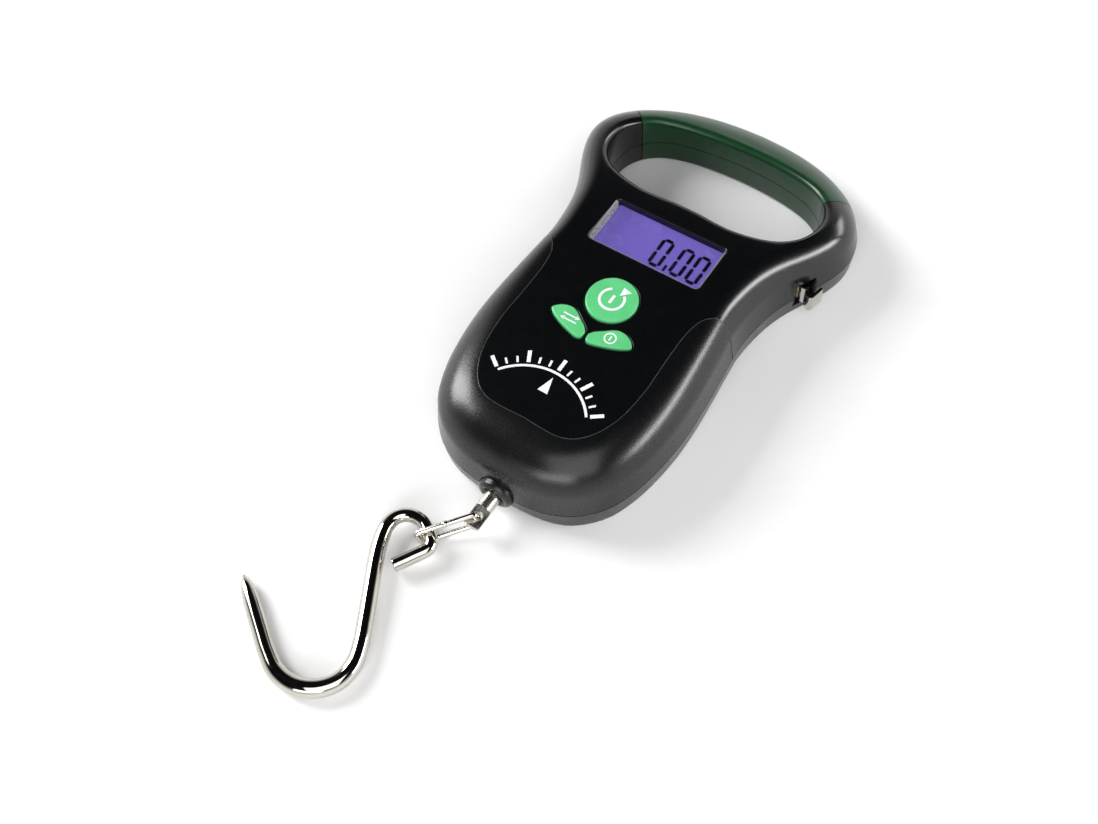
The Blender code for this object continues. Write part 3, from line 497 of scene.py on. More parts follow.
def cap(name, outline, low, top, edge, flange=None, steps=5):
    """Button cap: straight side, rounded edge and flat top, with a wider foot between the two flange heights."""
    cx = sum(p[0] for p in outline) / len(outline)
    cy = sum(p[1] for p in outline) / len(outline)
    rows = [(0.0, low)]
    if flange:
        foot = -0.9
        rows = [(foot, flange[0]), (foot, flange[1]), (0.0, flange[1] + 0.02)]
    for i in range(steps + 1):
        a = math.pi / 2 * i / steps
        rows.append((edge * (1 - math.cos(a)), top - edge * (1 - math.sin(a))))
    rings = [[(x, y, z) for x, y in grown(outline, -inset)] for inset, z in rows]
    rim = rings[-1]
    for share in (0.93, 0.84, 0.7, 0.5, 0.28, 0.1):
        rings.append([(cx + (x - cx) * share, cy + (y - cy) * share, top) for x, y, _ in rim])
    return add_object(name, lambda work: stack(work, rings), ROUND_SHARP)


# ---------------------------------------------------------------- materials

def shader_of(name):
    made = bpy.data.materials.new(name)
    made.use_nodes = True
    return made, made.node_tree, made.node_tree.nodes["Principled BSDF"]


def noise(tree, scale, detail=3.0, stretch=(1, 1, 1)):
    coordinates = tree.nodes.new("ShaderNodeTexCoord")
    mapping = tree.nodes.new("ShaderNodeMapping")
    mapping.inputs["Scale"].default_value = stretch
    texture = tree.nodes.new("ShaderNodeTexNoise")
    texture.inputs["Scale"].default_value = scale
    texture.inputs["Detail"].default_value = detail
    tree.links.new(coordinates.outputs["Object"], mapping.inputs["Vector"])
    tree.links.new(mapping.outputs["Vector"], texture.inputs["Vector"])
    return texture.outputs["Fac"]


def ranged(tree, value, low, high):
    made = tree.nodes.new("ShaderNodeMapRange")
    made.inputs["From Min"].default_value = 0.3
    made.inputs["From Max"].default_value = 0.7
    made.inputs["To Min"].default_value = low
    made.inputs["To Max"].default_value = high
    tree.links.new(value, made.inputs["Value"])
    return made.outputs["Result"]


def surface(name, dark, light, rough, metallic=0.0, mottle=60.0, grain=1500.0, depth=0.1, height=0.00005,
            stretch=(1, 1, 1), emission=0.0):
    """Finish whose colour and roughness wander slightly, with a fine grain in its normal."""
    made, tree, shader = shader_of(name)
    mix = tree.nodes.new("ShaderNodeMix")
    mix.data_type = "RGBA"
    mix.inputs["A"].default_value = (*dark, 1)
    mix.inputs["B"].default_value = (*light, 1)
    broad = noise(tree, mottle, 4.0, stretch)
    tree.links.new(ranged(tree, broad, 0.0, 1.0), mix.inputs["Factor"])
    tree.links.new(mix.outputs["Result"], shader.inputs["Base Color"])
    tree.links.new(ranged(tree, noise(tree, mottle * 3.1, 5.0, stretch), *rough), shader.inputs["Roughness"])
    bump = tree.nodes.new("ShaderNodeBump")
    bump.inputs["Strength"].default_value = depth
    bump.inputs["Distance"].default_value = height
    tree.links.new(noise(tree, grain, 2.0, stretch), bump.inputs["Height"])
    tree.links.new(bump.outputs["Normal"], shader.inputs["Normal"])
    shader.inputs["Metallic"].default_value = metallic
    if emission:
        tree.links.new(mix.outputs["Result"], shader.inputs["Emission Color"])
        shader.inputs["Emission Strength"].default_value = emission
    return made


LOOKS = {
    "black_gloss": surface("satin_black_face", (0.0016, 0.0019, 0.0023), (0.0022, 0.0026, 0.0031), (0.20, 0.235),
                           mottle=260, grain=1400, depth=0.05),
    "black_textured": surface("textured_black_skin", (0.0018, 0.0021, 0.0025), (0.0028, 0.0031, 0.0036),
                              (0.25, 0.29), mottle=700, grain=1800, depth=0.3, height=0.00006),
    "black_satin": surface("moulded_black_back", (0.0025, 0.0028, 0.0032), (0.0045, 0.0048, 0.0054), (0.25, 0.33),
                           mottle=90, grain=1700, depth=0.35, height=0.00006),
    "black_matte": surface("matte_black_collar", (0.0016, 0.0017, 0.0019), (0.003, 0.0031, 0.0034), (0.26, 0.34),
                           mottle=200, grain=1600, depth=0.3),
    "grip_green": surface("green_grip_rubber", (0.0022, 0.030, 0.0085), (0.003, 0.038, 0.0112), (0.28, 0.33),
                          mottle=400, grain=1600, depth=0.15, height=0.00005),
    "button_mint": surface("mint_button_rubber", (0.085, 0.47, 0.17), (0.115, 0.56, 0.215), (0.3, 0.42),
                           mottle=150, grain=1100, depth=0.12),
    "bright_nickel": surface("bright_nickel_plate", (0.52, 0.495, 0.45), (0.66, 0.635, 0.58), (0.05, 0.10), 1.0,
                             mottle=90, grain=420, depth=0.10, height=0.0001),
    "stem_nickel": surface("brushed_nickel_stem", (0.6, 0.58, 0.53), (0.74, 0.715, 0.66), (0.2, 0.34), 1.0,
                           mottle=200, grain=900, depth=0.2, height=0.00008, stretch=(3, 0.3, 3)),
    "plain_steel": surface("zinc_plated_steel", (0.42, 0.43, 0.45), (0.6, 0.61, 0.62), (0.25, 0.45), 1.0,
                           mottle=150, grain=1200, depth=0.15),
    "contact_brass": surface("nickel_brass_contact", (0.55, 0.42, 0.2), (0.72, 0.58, 0.3), (0.22, 0.4), 1.0,
                             mottle=120, grain=900, depth=0.12),
    "board_green": surface("solder_mask_green", (0.006, 0.075, 0.03), (0.012, 0.12, 0.045), (0.25, 0.4),
                           mottle=260, grain=2200, depth=0.3),
    "chip_black": surface("chip_moulding", (0.008, 0.008, 0.009), (0.018, 0.018, 0.02), (0.45, 0.6),
                          mottle=300, grain=2600, depth=0.3),
    "silicone_grey": surface("keypad_silicone", (0.34, 0.34, 0.33), (0.46, 0.46, 0.44), (0.5, 0.65),
                             mottle=120, grain=1800, depth=0.2),
    "strip_pink": surface("contact_strip_rubber", (0.42, 0.12, 0.14), (0.6, 0.2, 0.22), (0.5, 0.65),
                          mottle=900, grain=2400, depth=0.25, stretch=(6, 0.4, 1)),
    "beam_alloy": surface("milled_aluminium", (0.55, 0.56, 0.57), (0.7, 0.71, 0.72), (0.25, 0.42), 1.0,
                          mottle=260, grain=2400, depth=0.3, stretch=(0.2, 3, 3)),
    "gauge_foil": surface("gauge_foil_film", (0.5, 0.3, 0.08), (0.72, 0.48, 0.16), (0.2, 0.38),
                          mottle=700, grain=2600, depth=0.25, stretch=(0.5, 1, 4)),
    "ribbon_amber": surface("polyimide_ribbon", (0.38, 0.16, 0.03), (0.55, 0.26, 0.05), (0.18, 0.32),
                            mottle=900, grain=2200, depth=0.2, stretch=(5, 0.3, 0.3)),
    "cell_wrap": surface("cell_sleeve", (0.05, 0.052, 0.06), (0.09, 0.093, 0.105), (0.18, 0.3), 0.3,
                         mottle=120, grain=800, depth=0.1),
    "reel_white": surface("reel_acetal", (0.6, 0.6, 0.57), (0.74, 0.74, 0.7), (0.35, 0.5),
                          mottle=160, grain=1500, depth=0.15),
    "tape_cream": surface("lacquered_tape", (0.62, 0.55, 0.25), (0.78, 0.7, 0.36), (0.22, 0.38),
                          mottle=240, grain=1400, depth=0.15, stretch=(0.4, 1, 1)),
    "backlight_white": surface("diffuser_sheet", (0.5, 0.48, 0.85), (0.62, 0.6, 0.95), (0.4, 0.55),
                               mottle=200, grain=1500, depth=0.1),
    "display_violet": surface("lit_display_film", (0.125, 0.092, 0.36), (0.145, 0.103, 0.40), (0.2, 0.3),
                              mottle=35, grain=1500, depth=0.03, emission=0.85),
    "display_ink": surface("display_segments", (0.002, 0.002, 0.012), (0.004, 0.003, 0.02), (0.25, 0.35),
                           mottle=400, grain=1500, depth=0.05),
    "display_border": surface("display_border", (0.004, 0.004, 0.006), (0.008, 0.008, 0.011), (0.12, 0.2),
                              mottle=100, grain=1200, depth=0.03),
    "print_white": surface("white_pad_print", (0.72, 0.73, 0.74), (0.82, 0.83, 0.84), (0.35, 0.5),
                           mottle=400, grain=2600, depth=0.2),
    # painted highlight: grey standing for the light caught on the walls of the black window recess
    "lip_highlight_grey": surface("window_wall_painted_highlight", (0.26, 0.26, 0.265), (0.3, 0.3, 0.305), (0.26, 0.3), 0.2,
                         mottle=300, grain=1600, depth=0.02),
    # painted highlight: grey standing for the light on the rounded joint edge of the black face
    "edge_highlight_grey": surface("joint_edge_painted_highlight", (0.028, 0.0285, 0.0295), (0.045, 0.0455, 0.047), (0.28, 0.36),
                         mottle=500, grain=1500, depth=0.1),
}


def clear_plate(name):
    made, tree, shader = shader_of(name)
    shader.inputs["Base Color"].default_value = (0.96, 0.96, 0.98, 1)
    shader.inputs["Transmission Weight"].default_value = 1.0
    shader.inputs["IOR"].default_value = 1.45
    tree.links.new(ranged(tree, noise(tree, 70, 3.0), 0.01, 0.04), shader.inputs["Roughness"])
    return made


LOOKS["window_clear"] = clear_plate("clear_window")


def place(piece, look, body, slot, *nodes):
    """Give a piece its finish and its body, and hide the CAD nodes that it stands for; the slot argument is not
    used.
    """
    piece.data.materials.clear()
    piece.data.materials.append(LOOKS[look])
    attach(piece, body)
    if nodes:
        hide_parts(*nodes)


# ---------------------------------------------------------------- camera, floor and light

def add_camera():
    focal_px = 1300.0
    image_width_px = 1098.0
    azimuth = math.radians(39.457)
    roll = math.radians(-6.642)
    forward = Vector((-0.32282675, 0.39221953, -0.8613633)).normalized()
    right = Vector((math.cos(azimuth), math.sin(azimuth), 0.0))
    up = right.cross(forward)
    turned_right = right * math.cos(roll) + up * math.sin(roll)
    turned_up = -right * math.sin(roll) + up * math.cos(roll)
    data = bpy.data.cameras.new("camera")
    position = Vector((0.11214491, -0.16810477, 0.31182126))
    data.sensor_width = 36.0
    data.lens = focal_px / image_width_px * data.sensor_width
    data.clip_start = 0.01
    made = bpy.data.objects.new("camera", data)
    bpy.context.scene.collection.objects.link(made)
    columns = Matrix((turned_right, turned_up, -forward)).transposed().to_4x4()
    made.matrix_world = Matrix.Translation(position) @ columns
    bpy.context.scene.camera = made


def add_card(name, centre, size, aim, strength, colour=(1, 1, 1)):
    """Soft light: a rectangle that shines towards aim.  Places and sizes are in metres."""
    data = bpy.data.lights.new(name, "AREA")
    data.shape = "RECTANGLE"
    data.size, data.size_y = size
    data.energy = strength
    data.color = colour
    made = bpy.data.objects.new(name, data)
    bpy.context.scene.collection.objects.link(made)
    made.location = centre
    made.rotation_euler = (Vector(aim) - Vector(centre)).to_track_quat("-Z", "Y").to_euler()


def add_studio():
    floor_size, floor_drop, rows = 1.6, 0.05, 8

    def build(work):
        bmesh.ops.create_grid(work, x_segments=rows, y_segments=rows, size=floor_size / MM,
                              matrix=Matrix.Translation((0, 0, -floor_drop)))

    floor = add_object("floor", build)
    floor.data.materials.append(surface("pale_paper", (0.86, 0.86, 0.86), (0.9, 0.9, 0.9), (0.7, 0.8),
                                        mottle=30, grain=400, depth=0.05))
    target = (0.0, 0.0, 0.01)
    add_card("key_left", (-0.95, -0.10, 0.62), (0.5, 0.7), target, 15.0)
    add_card("fill_right", (0.85, 0.30, 0.30), (0.6, 0.16), target, 5.5)
    add_card("fill_front", (0.25, -0.95, 0.50), (0.7, 0.3), target, 3.2)
    add_card("high_front", (0.45, -0.60, 1.0), (1.0, 1.0), target, 7.0)
    add_card("fill_back", (0.45, 0.95, 0.32), (0.6, 0.16), target, 2.6)

    world = bpy.data.worlds.new("studio")
    bpy.context.scene.world = world
    world.use_nodes = True
    tree = world.node_tree
    coordinates = tree.nodes.new("ShaderNodeTexCoord")
    split = tree.nodes.new("ShaderNodeSeparateXYZ")
    ramp = tree.nodes.new("ShaderNodeValToRGB")
    ramp.color_ramp.elements[0].position = 0.16
    ramp.color_ramp.elements[0].color = (1.0, 0.99, 0.97, 1)
    ramp.color_ramp.elements[1].position = 0.55
    ramp.color_ramp.elements[1].color = (0.006, 0.006, 0.0065, 1)
    middle = ramp.color_ramp.elements.new(0.32)
    middle.color = (0.5, 0.5, 0.505, 1)
    background = tree.nodes["Background"]
    background.inputs["Strength"].default_value = 1.0
    tree.links.new(coordinates.outputs["Generated"], split.inputs["Vector"])
    tree.links.new(split.outputs["Z"], ramp.inputs["Fac"])
    tree.links.new(ramp.outputs["Color"], background.inputs["Color"])
    bpy.context.scene.view_settings.view_transform = "Standard"
    bpy.context.scene.view_settings.look = "None"


add_camera()
add_studio()


# ---------------------------------------------------------------- housing

def tongue_region(name, grow):
    half = half_outline(TONGUE_PROFILE, 70)
    outline = grown(half + [(-x, y) for x, y in half[:0:-1]], grow)
    right, left = outline[:len(half)], outline[len(half):]
    side = [(60, right[-1][1]), (60, 110), (-60, 110), (-60, right[-1][1])]
    return prism(name, right + side + left, -8, 45)


def grip_region(name, grow):
    (ox, oy), (ix, iy) = GRIP_OUTER, GRIP_INNER
    shift = grow * 1.25
    lower = [(-ox, oy - shift), (-ix, iy - shift), (ix, iy - shift), (ox, oy - shift)]
    return prism(name, lower + [(ox, oy + 20), (-ox, oy + 20)], -6, 40)


def cavity(kind, name):
    """Hollow of a cover, less the wall round the finger slot."""
    front = kind == "front"
    made = front_loft(name, WALL, WALL, PARTING_Z - 3) if front else rear_loft(name, WALL, WALL, PARTING_Z + 3)
    radius, low, high = (2.9, 4, 30) if front else (3.1, -2, 12)
    pads = [slot_wall(name + "_wall"), box(name + "_block", (34.4, 36.0, -2), (52, 46.0, 14.4))]
    if front:
        pads.append(box(name + "_pad", (-20.6, 12.8, 22.4), (20.6, 34.2, 30)))
    for i, (x, y) in enumerate(CASE_SCREWS):
        pads.append(cylinder(f"{name}_boss_{i}", radius, (x, y, low), (x, y, high)))
    return combine(made, pads)


def tape_recess(name):
    pocket = box(name, (36.4, 37.4, 4.0), (60.0, 44.4, 12.2))
    return combine(pocket, [box(name + "_mouth", (31.6, 38.8, 4.01), (38.6, 42.4, 12.19))], "UNION")


def bush_seat(name):
    return cylinder(name, 5.4, (0, -66, 8), (0, -50.6, 8), 64)


def build_shells():
    whole = front_loft("front_shell", 0.0, 0.0, PARTING_Z)
    corners = [v.co.copy() for v in whole.data.vertices]
    tree = BVHTree.FromPolygons(corners, [list(p.vertices) for p in whole.data.polygons])

    seat = front_loft("seat", -1.5, -1.5, PARTING_Z - 1)
    core = front_loft("seat_core", SHROUD_SEAT, SHROUD_SEAT, PARTING_Z - 3)
    seat = combine(seat, [core, tongue_region("seat_tongue", -SHROUD_JOINT)])
    cuts = [
        slot_cutter("slot"), cavity("front", "front_hollow"), seat, grip_region("gap", GRIP_JOINT),
        opening("window_cut", rounded_rectangle(*WINDOW, WINDOW_CORNER), 18.0, 0.45),
        opening("zero_cut", circle(0, 0, ZERO_RADIUS + BUTTON_CLEAR), 18.0),
        opening("unit_cut", grown(leaf_outline(-1), BUTTON_CLEAR), 18.0),
        opening("power_cut", grown(leaf_outline(1), BUTTON_CLEAR), 18.0),
        bush_seat("bush_a"), tape_recess("recess_a"),
    ]
    place(combine(whole, cuts, flat=True), "black_gloss", "housing", "black_gloss", "front_cover")

    skin = front_loft("shroud_skin", 0.0, 0.0, PARTING_Z)
    cuts = [front_loft("skin_core", SHROUD_SKIN, SHROUD_SKIN, PARTING_Z - 3),
            tongue_region("skin_trim", SHROUD_JOINT), bush_seat("bush_b")]
    place(combine(skin, cuts), "black_textured", "housing", "black_textured", "lower_shroud")

    rear = rear_loft("rear_shell", 0.0, 0.0, PARTING_Z)
    cuts = [slot_cutter("slot_r"), cavity("rear", "rear_hollow"), grip_region("gap_r", GRIP_JOINT),
            bush_seat("bush_c"), tape_recess("recess_b"), prism("door_cut", rounded_rectangle(*DOOR, 2.0), -3, 5)]
    for i, (x, y) in enumerate(CASE_SCREWS):
        cuts.append(cylinder(f"way_{i}", 1.4, (x, y, -1), (x, y, 10), 24))
        cuts.append(cylinder(f"head_{i}", 2.6, (x, y, -1), (x, y, 2.6), 40))
    place(combine(rear, cuts), "black_satin", "housing", "black_satin", "rear_cover")

    grip = front_loft("grip_shell_front", 0.0, 0.0, PARTING_Z)
    combine(grip, [slot_cutter("slot_g"), cavity("front", "grip_hollow")])
    combine(grip, [grip_region("keep_g", -GRIP_JOINT)], "INTERSECT")
    place(grip, "grip_green", "housing", "grip_green", "grip_front")
    grip = rear_loft("grip_shell_rear", 0.0, 0.0, PARTING_Z)
    combine(grip, [slot_cutter("slot_h"), cavity("rear", "grip_hollow_rear")])
    combine(grip, [grip_region("keep_h", -GRIP_JOINT)], "INTERSECT")
    place(grip, "grip_green", "housing", "grip_green", "grip_rear")
    return tree


def build_joint_edge(tree):
    """Edge bead in the joint between the face and the textured skin; its grey is a painted highlight on the black
    edge.
    """
    half = half_outline(TONGUE_PROFILE, 90)
    steep_from, bottom, sunk, radius = 0.0195, 8.3, 0.16, 0.17
    steps = 14
    path = []
    for x, y in half:
        hit = tree.ray_cast(Vector((x * MM, y * MM, PROBE)), Vector((0, 0, -1)))[0]
        if hit is None or hit.z < steep_from:
            break
        path.append(hit / MM)
    end = path[-1]
    for i in range(1, steps + 1):
        z = end.z - (end.z - bottom) * i / steps
        hit = tree.ray_cast(Vector((PROBE, min(end.y + 0.02 * i, 11.2) * MM, z * MM)), Vector((-1, 0, 0)))[0]
        path.append(hit / MM)
    points = [(x, y, z - sunk) for x, y, z in path]
    full = [(-x, y, z) for x, y, z in points[:0:-1]] + points
    place(wire("joint_edge", full, radius, sides=10), "edge_highlight_grey", "housing", "black_gloss")


def build_door():
    x0, y0, x1, y1 = DOOR
    outline = rounded_rectangle(x0 + 0.25, y0 + 0.25, x1 - 0.25, y1 - 0.25, 1.75)
    section = ((0.35, 0.0), (0.1, 0.1), (0.0, 0.35), (0.0, 1.8))
    rings = [[(x, y, z) for x, y in grown(outline, -inset)] for inset, z in section]
    door = add_object("door_panel", lambda work: stack(work, rings), ROUND_SHARP)
    middle = (x0 + x1) / 2
    grooves = []
    for i in range(6):
        y = y1 - 4.0 - 1.9 * i
        left, right = middle - 6 + i * 0.8, middle + 6 - i * 0.8
        shape = rounded_rectangle(left, y - 0.45, right, y + 0.45, 0.4)
        grooves.append(prism(f"groove_{i}", shape, -1, 0.55))
    arrow = [(middle - 2.2, y1 - 17.5), (middle + 2.2, y1 - 17.5), (middle, y1 - 14.9)]
    grooves.append(prism("arrow", arrow, -1, 0.35))
    place(combine(door, grooves), "black_satin", "door", "black_satin", "battery_door")


def build_screws():
    head = [(0, 0), (1.6, 0), (2.1, 0.15), (2.3, 0.5), (2.3, 1.5), (1.1, 1.5), (1.1, 10.4), (0, 10.4)]
    for index, (x, y) in enumerate(CASE_SCREWS, 1):
        screw = turned(f"cover_screw_{index}", head, (x, y, 0.9), (x, y, 30), 40)
        turn = math.radians(20 + 37 * index)
        blades = []
        for k in range(2):
            a = turn + math.pi / 2 * k
            along, across = Vector((math.cos(a), math.sin(a))), Vector((-math.sin(a), math.cos(a)))
            far, side = along * 1.35, across * 0.28
            corners = [far + side, -far + side, -far - side, far - side]
            blades.append(prism(f"blade_{index}_{k}", [(x + c.x, y + c.y) for c in corners], 0.5, 1.9))
        place(combine(screw, blades), "plain_steel", "housing", "plain_steel", f"case_screw_{index}")


# ---------------------------------------------------------------- display

def segment(name, start, end, width, low, high):
    """Display stroke with pointed ends, held off its neighbours by a small gap."""
    gap = 0.16
    a, b = Vector(start), Vector(end)
    along = (b - a).normalized()
    across = Vector((-along.y, along.x)) * width / 2
    a, b = a + along * gap, b - along * gap
    tip = along * width * 0.42
    corners = [a, a + tip + across, b - tip + across, b, b - tip - across, a + tip - across]
    return prism(name, [tuple(c) for c in corners], low, high)


def build_display():
    lit = 20.76
    ink = 20.8
    glass = 20.7
    base = prism("display_base", rounded_rectangle(-18.6, 14.6, 18.6, 32.9, 0.4), 19.1, glass)
    place(base, "display_border", "housing", "display_violet", "display_glass")
    panel = prism("display_field", rounded_rectangle(-17.75, 14.8, 18.3, 32.0, 1.0), glass, lit)
    place(panel, "display_violet", "housing", "display_violet")
    strokes = []
    width, tall, wide = 1.05, 9.2, 2.95
    for n, left in enumerate((-0.1, 6.5, 11.6)):
        bottom = 18.7
        right, top, mid = left + wide, bottom + tall, bottom + tall / 2
        lines = [((left, bottom), (right, bottom)), ((left, top), (right, top)), ((left, bottom), (left, mid)),
                 ((left, mid), (left, top)), ((right, bottom), (right, mid)), ((right, mid), (right, top))]
        strokes += [segment(f"stroke_{n}_{i}", a, b, width, lit, ink) for i, (a, b) in enumerate(lines)]
    strokes.append(prism("point", [(4.4, 18.2), (5.2, 18.2), (5.2, 20.4), (4.4, 20.4)], lit, ink))
    place(joined("display_digits", strokes), "display_ink", "housing", "display_violet")
    # Grey lining on the left, bottom and right walls of the window recess, a painted highlight for the light those
    # walls catch; the top wall is cut away so that it stays black.
    wall_highlight = prism("window_wall_highlight", rounded_rectangle(*WINDOW, WINDOW_CORNER), 22.15, 25.05)
    x0, y0, x1, y1 = WINDOW
    combine(wall_highlight, [prism("lip_hole", rounded_rectangle(x0 + 0.75, y0 + 0.3, x1 - 0.3, y1 - 0.3, 1.0), 20, 30)])
    combine(wall_highlight, [box("lip_top", (-30, 30.2, 20), (30, 40, 30)), box("lip_slant", (-30, 10, 24.95), (30, 40, 30))])
    place(wall_highlight, "lip_highlight_grey", "housing", "black_gloss")
    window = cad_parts["display_window"]
    window.data.materials.clear()
    window.data.materials.append(LOOKS["window_clear"])


# ---------------------------------------------------------------- buttons and print

def ring_arc(name, centre, radius, width, start, end, low, high, count=48):
    turns = [math.radians(start + (end - start) * i / count) for i in range(count + 1)]
    outer, inner = (
        [(centre[0] + reach * math.cos(a), centre[1] + reach * math.sin(a)) for a in turns]
        for reach in (radius + width / 2, radius - width / 2)
    )
    return prism(name, outer + inner[::-1], low, high)


def bar(name, start, end, width, low, high):
    a, b = Vector(start), Vector(end)
    along = (b - a).normalized()
    across = Vector((-along.y, along.x)) * width / 2
    return prism(name, [tuple(c) for c in (a - across, b - across, b + across, a + across)], low, high)


def build_buttons():
    under, top, edge = 20.2, 26.15, 0.45
    thin = 0.42
    zero = cap("zero_cap", circle(0, 0, ZERO_RADIUS, 96), under, top, edge, (22.0, 23.1))
    place(zero, "button_mint", "zero_key", "button_mint", "zero_button")
    for side, label in ((-1, "unit"), (1, "power")):
        leaf = cap(f"{label}_cap", leaf_outline(side), under, top, edge)
        place(leaf, "button_mint", f"{label}_key", "button_mint", f"{label}_button")
    low, high = top - 0.02, 26.2
    icon = [
        ring_arc("turn_arc", (0, 0), 3.4, 0.75, 120, 405, low, high),
        prism("turn_head", [(1.2, 2.0), (3.6, 4.3), (0.9, 4.9)], low, high),
        bar("turn_mark", (0, -1.4), (0, 1.4), 0.8, low, high),
    ]
    place(joined("zero_icon", icon), "print_white", "zero_key", "button_mint")
    cx, cy = 6.35, -10.9
    icon = [ring_arc("power_ring", (cx, cy), 1.55, thin, 0, 359.9, low, high, 64),
            bar("power_bar", (cx, cy - 0.75), (cx, cy + 0.75), thin, low, high)]
    place(joined("power_icon", icon), "print_white", "power_key", "button_mint")
    cx, cy = -6.3, -10.9
    icon = [bar("up_stem", (cx - 2.4, cy + 0.75), (cx + 1.6, cy + 0.75), thin, low, high),
            prism("up_head", [(cx + 1.4, cy + 0.1), (cx + 1.4, cy + 1.4), (cx + 2.7, cy + 0.75)], low, high),
            bar("down_stem", (cx - 1.6, cy - 0.75), (cx + 2.4, cy - 0.75), thin, low, high),
            prism("down_head", [(cx - 1.4, cy - 0.1), (cx - 1.4, cy - 1.4), (cx - 2.7, cy - 0.75)], low, high)]
    place(joined("unit_icon", icon), "print_white", "unit_key", "button_mint")


def build_print():
    """Plain white dial marks on the face: an arc with ticks and a pointer, in place of any badge."""
    low, high = THICKNESS - 0.03, THICKNESS + 0.03
    centre = (0.0, -44.0)
    marks = [ring_arc("dial_arc", centre, 17.0, 0.7, 36, 144, low, high, 72)]
    for i in range(13):
        a = math.radians(36 + 9 * i)
        reach = 21.6 if i % 3 == 0 else 19.9
        width = 1.05 if i % 3 == 0 else 0.6
        start = (centre[0] + 18.0 * math.cos(a), centre[1] + 18.0 * math.sin(a))
        end = (centre[0] + reach * math.cos(a), centre[1] + reach * math.sin(a))
        marks.append(bar(f"tick_{i}", start, end, width, low, high))
    marks.append(prism("pointer", [(-1.5, -33.6), (1.5, -33.6), (0.0, -28.6)], low, high))
    place(joined("dial_print", marks), "print_white", "housing", "black_gloss")


# ---------------------------------------------------------------- stem, link and hook

def build_stem():
    collar = [(2.6, 1.1), (3.0, 0.35), (3.5, 0.0), (4.2, 0.0), (4.75, 0.3), (5.1, 0.8), (5.2, 1.3), (5.2, 6.6),
              (2.6, 6.6)]
    bush = turned("stem_collar", collar, (0, -58.9, 8), (0, 0, 8))
    place(bush, "black_matte", "housing", "black_satin", "stem_bush")
    rod = [(0, 0), (1.95, 0), (2.2, 0.1), (2.35, 0.35), (2.35, 24.2), (2.15, 24.5), (0, 24.5)]
    stem = turned("stem_rod", rod, (0, -68.9, 8), (0, 0, 8))
    flat = box("stem_flat", (-4, -72, 8.1), (4, -63.3, 12))
    eye = [(0, -6), (1.25, -6), (1.25, 0.0), (1.6, 0.35), (1.6, 5), (0, 5)]
    hole = turned("stem_eye", eye, (0, -65.7, 7.85), (0, -65.7, 30), 40)
    place(combine(stem, [flat, hole]), "stem_nickel", "swivel", "bright_nickel", "stem")


def build_link():
    along = (LINK_END - LINK_START).normalized()
    across = (Vector((0, 0, 1)) - along * along.z).normalized()
    corner = 1.2
    flat = LINK_WIDTH / 2 - corner
    points = []
    for centre, base in ((LINK_END - along * corner, 1), (LINK_START + along * corner, -1)):
        for side in (1, -1):
            for i in range(13):
                a = math.pi / 2 * i / 12
                reach, lift = (math.cos(a), math.sin(a)) if side < 0 else (math.sin(a), math.cos(a))
                outward = across * side * base * (flat + corner * lift)
                points.append(centre + along * base * corner * reach + outward)
    link = wire("link_wire", points, LINK_WIRE, cyclic=True)
    middle = (LINK_START + LINK_END) / 2 + across * (LINK_WIDTH / 2 - 0.02)
    profile = [(0, -1.1), (0.55, -1.0), (0.86, -0.55), (0.92, 0.0), (0.86, 0.55), (0.55, 1.0), (0, 1.1)]
    bump = turned("weld", profile, tuple(middle), tuple(middle + along), 32, 60.0)
    combine(link, [bump], "UNION")
    place(link, "bright_nickel", "link", "bright_nickel", "chain_link")


def build_hook():
    path = smooth_path(HOOK_PATH, 260)
    first = Vector(path[0][:3])
    heading = (Vector(path[1][:3]) - first).normalized()
    lead = [(0.0, 0.82), (0.12, 0.92), (0.32, 1.0)]
    points = [tuple(first + heading * step) for step, _ in lead]
    shares = [share for _, share in lead]
    for x, y, z, share in path[2:]:
        points.append((x, y, z))
        shares.append(share)
    hook = wire("hook_wire", points, HOOK_WIRE, shares, sides=32)
    place(hook, "bright_nickel", "hook", "bright_nickel", "s_hook")


# ---------------------------------------------------------------- tape

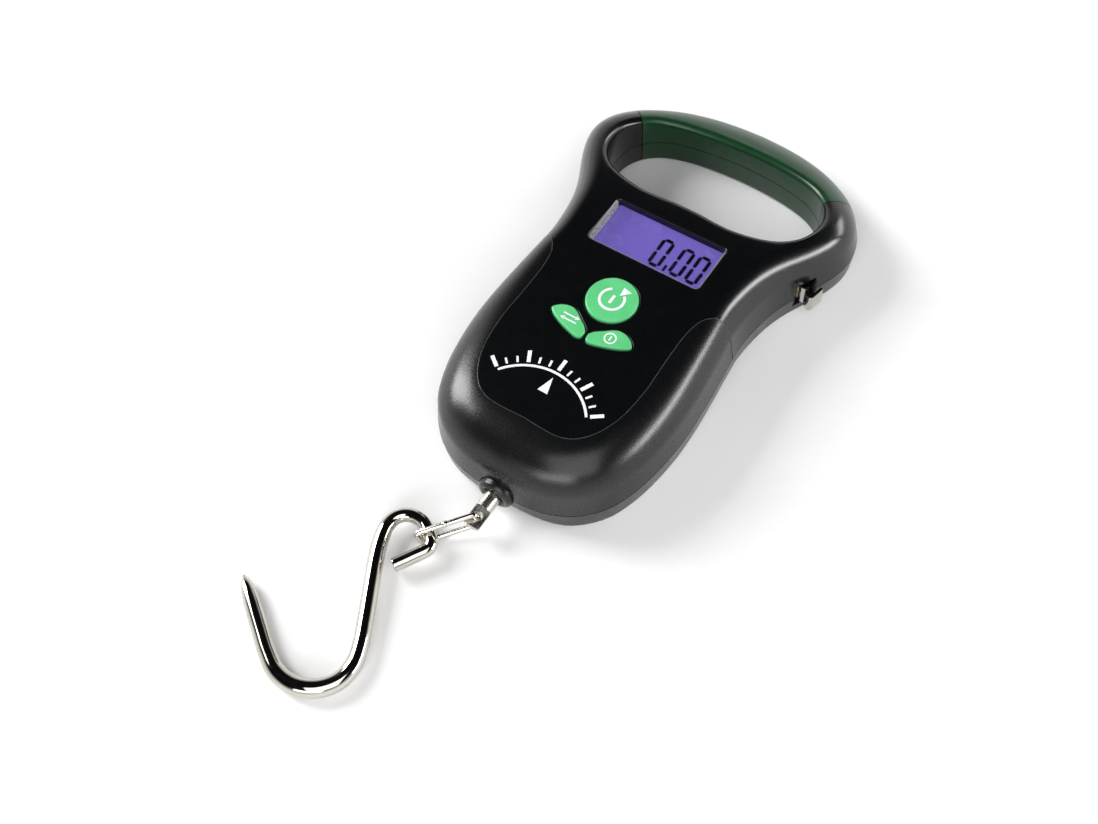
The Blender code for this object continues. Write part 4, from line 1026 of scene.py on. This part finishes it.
def build_tape():
    tab = [(38.3, 40.1), (39.8, 38.3), (40.8, 37.8), (41.7, 38.3), (42.7, 42.6), (41.9, 42.8), (41.0, 39.1),
           (40.7, 38.8), (40.2, 39.1), (38.9, 40.9), (38.3, 41.0)]
    piece = prism("tab_folded", tab, 5.0, 11.0)
    crimp = prism("tab_crimp", rounded_rectangle(36.5, 39.7, 39.0, 41.3, 0.5), 4.8, 11.2)
    combine(piece, [crimp], "UNION")
    soften = piece.modifiers.new("edge", "BEVEL")
    soften.width = 0.12 * MM
    soften.segments = 3
    soften.limit_method = "ANGLE"
    combine(piece, [])
    place(piece, "bright_nickel", "tape_end", "bright_nickel", "tape_end_tab")
    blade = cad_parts["tape_blade"]
    work = bmesh.new()
    work.from_mesh(blade.data)
    bmesh.ops.remove_doubles(work, verts=work.verts, dist=1e-7)
    mesh = bpy.data.meshes.new("tape_strip")
    work.to_mesh(mesh)
    work.free()
    strip = link_mesh("tape_strip", mesh)
    mesh.materials.clear()
    mesh.materials.append(LOOKS["tape_cream"])
    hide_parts("tape_blade")
    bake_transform(strip)


# ---------------------------------------------------------------- carried-over CAD nodes

NODE_LOOKS = {
    "tape_guide": "black_matte", "display_frame": "black_matte", "handle_core": "plain_steel",
    "circuit_board": "board_green", "main_chip": "chip_black", "keypad_mat": "silicone_grey",
    "contact_strip": "strip_pink", "backlight": "backlight_white", "load_cell": "beam_alloy",
    "strain_gauge_outer": "gauge_foil", "strain_gauge_inner": "gauge_foil", "gauge_ribbon": "ribbon_amber",
    "cell_left": "cell_wrap", "cell_right": "cell_wrap", "contact_plus": "contact_brass",
    "contact_bridge": "contact_brass", "contact_spring": "contact_brass", "tape_reel": "reel_white",
    "tape_coil": "tape_cream",
}


def dress_nodes():
    for name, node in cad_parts.items():
        if node.hide_render or name == "display_window":
            continue
        node.data.materials.clear()
        node.data.materials.append(LOOKS[NODE_LOOKS.get(name, "plain_steel")])


skin_tree = build_shells()
build_joint_edge(skin_tree)
build_door()
build_screws()
build_display()
build_buttons()
build_print()
build_stem()
build_link()
build_hook()
build_tape()
dress_nodes()
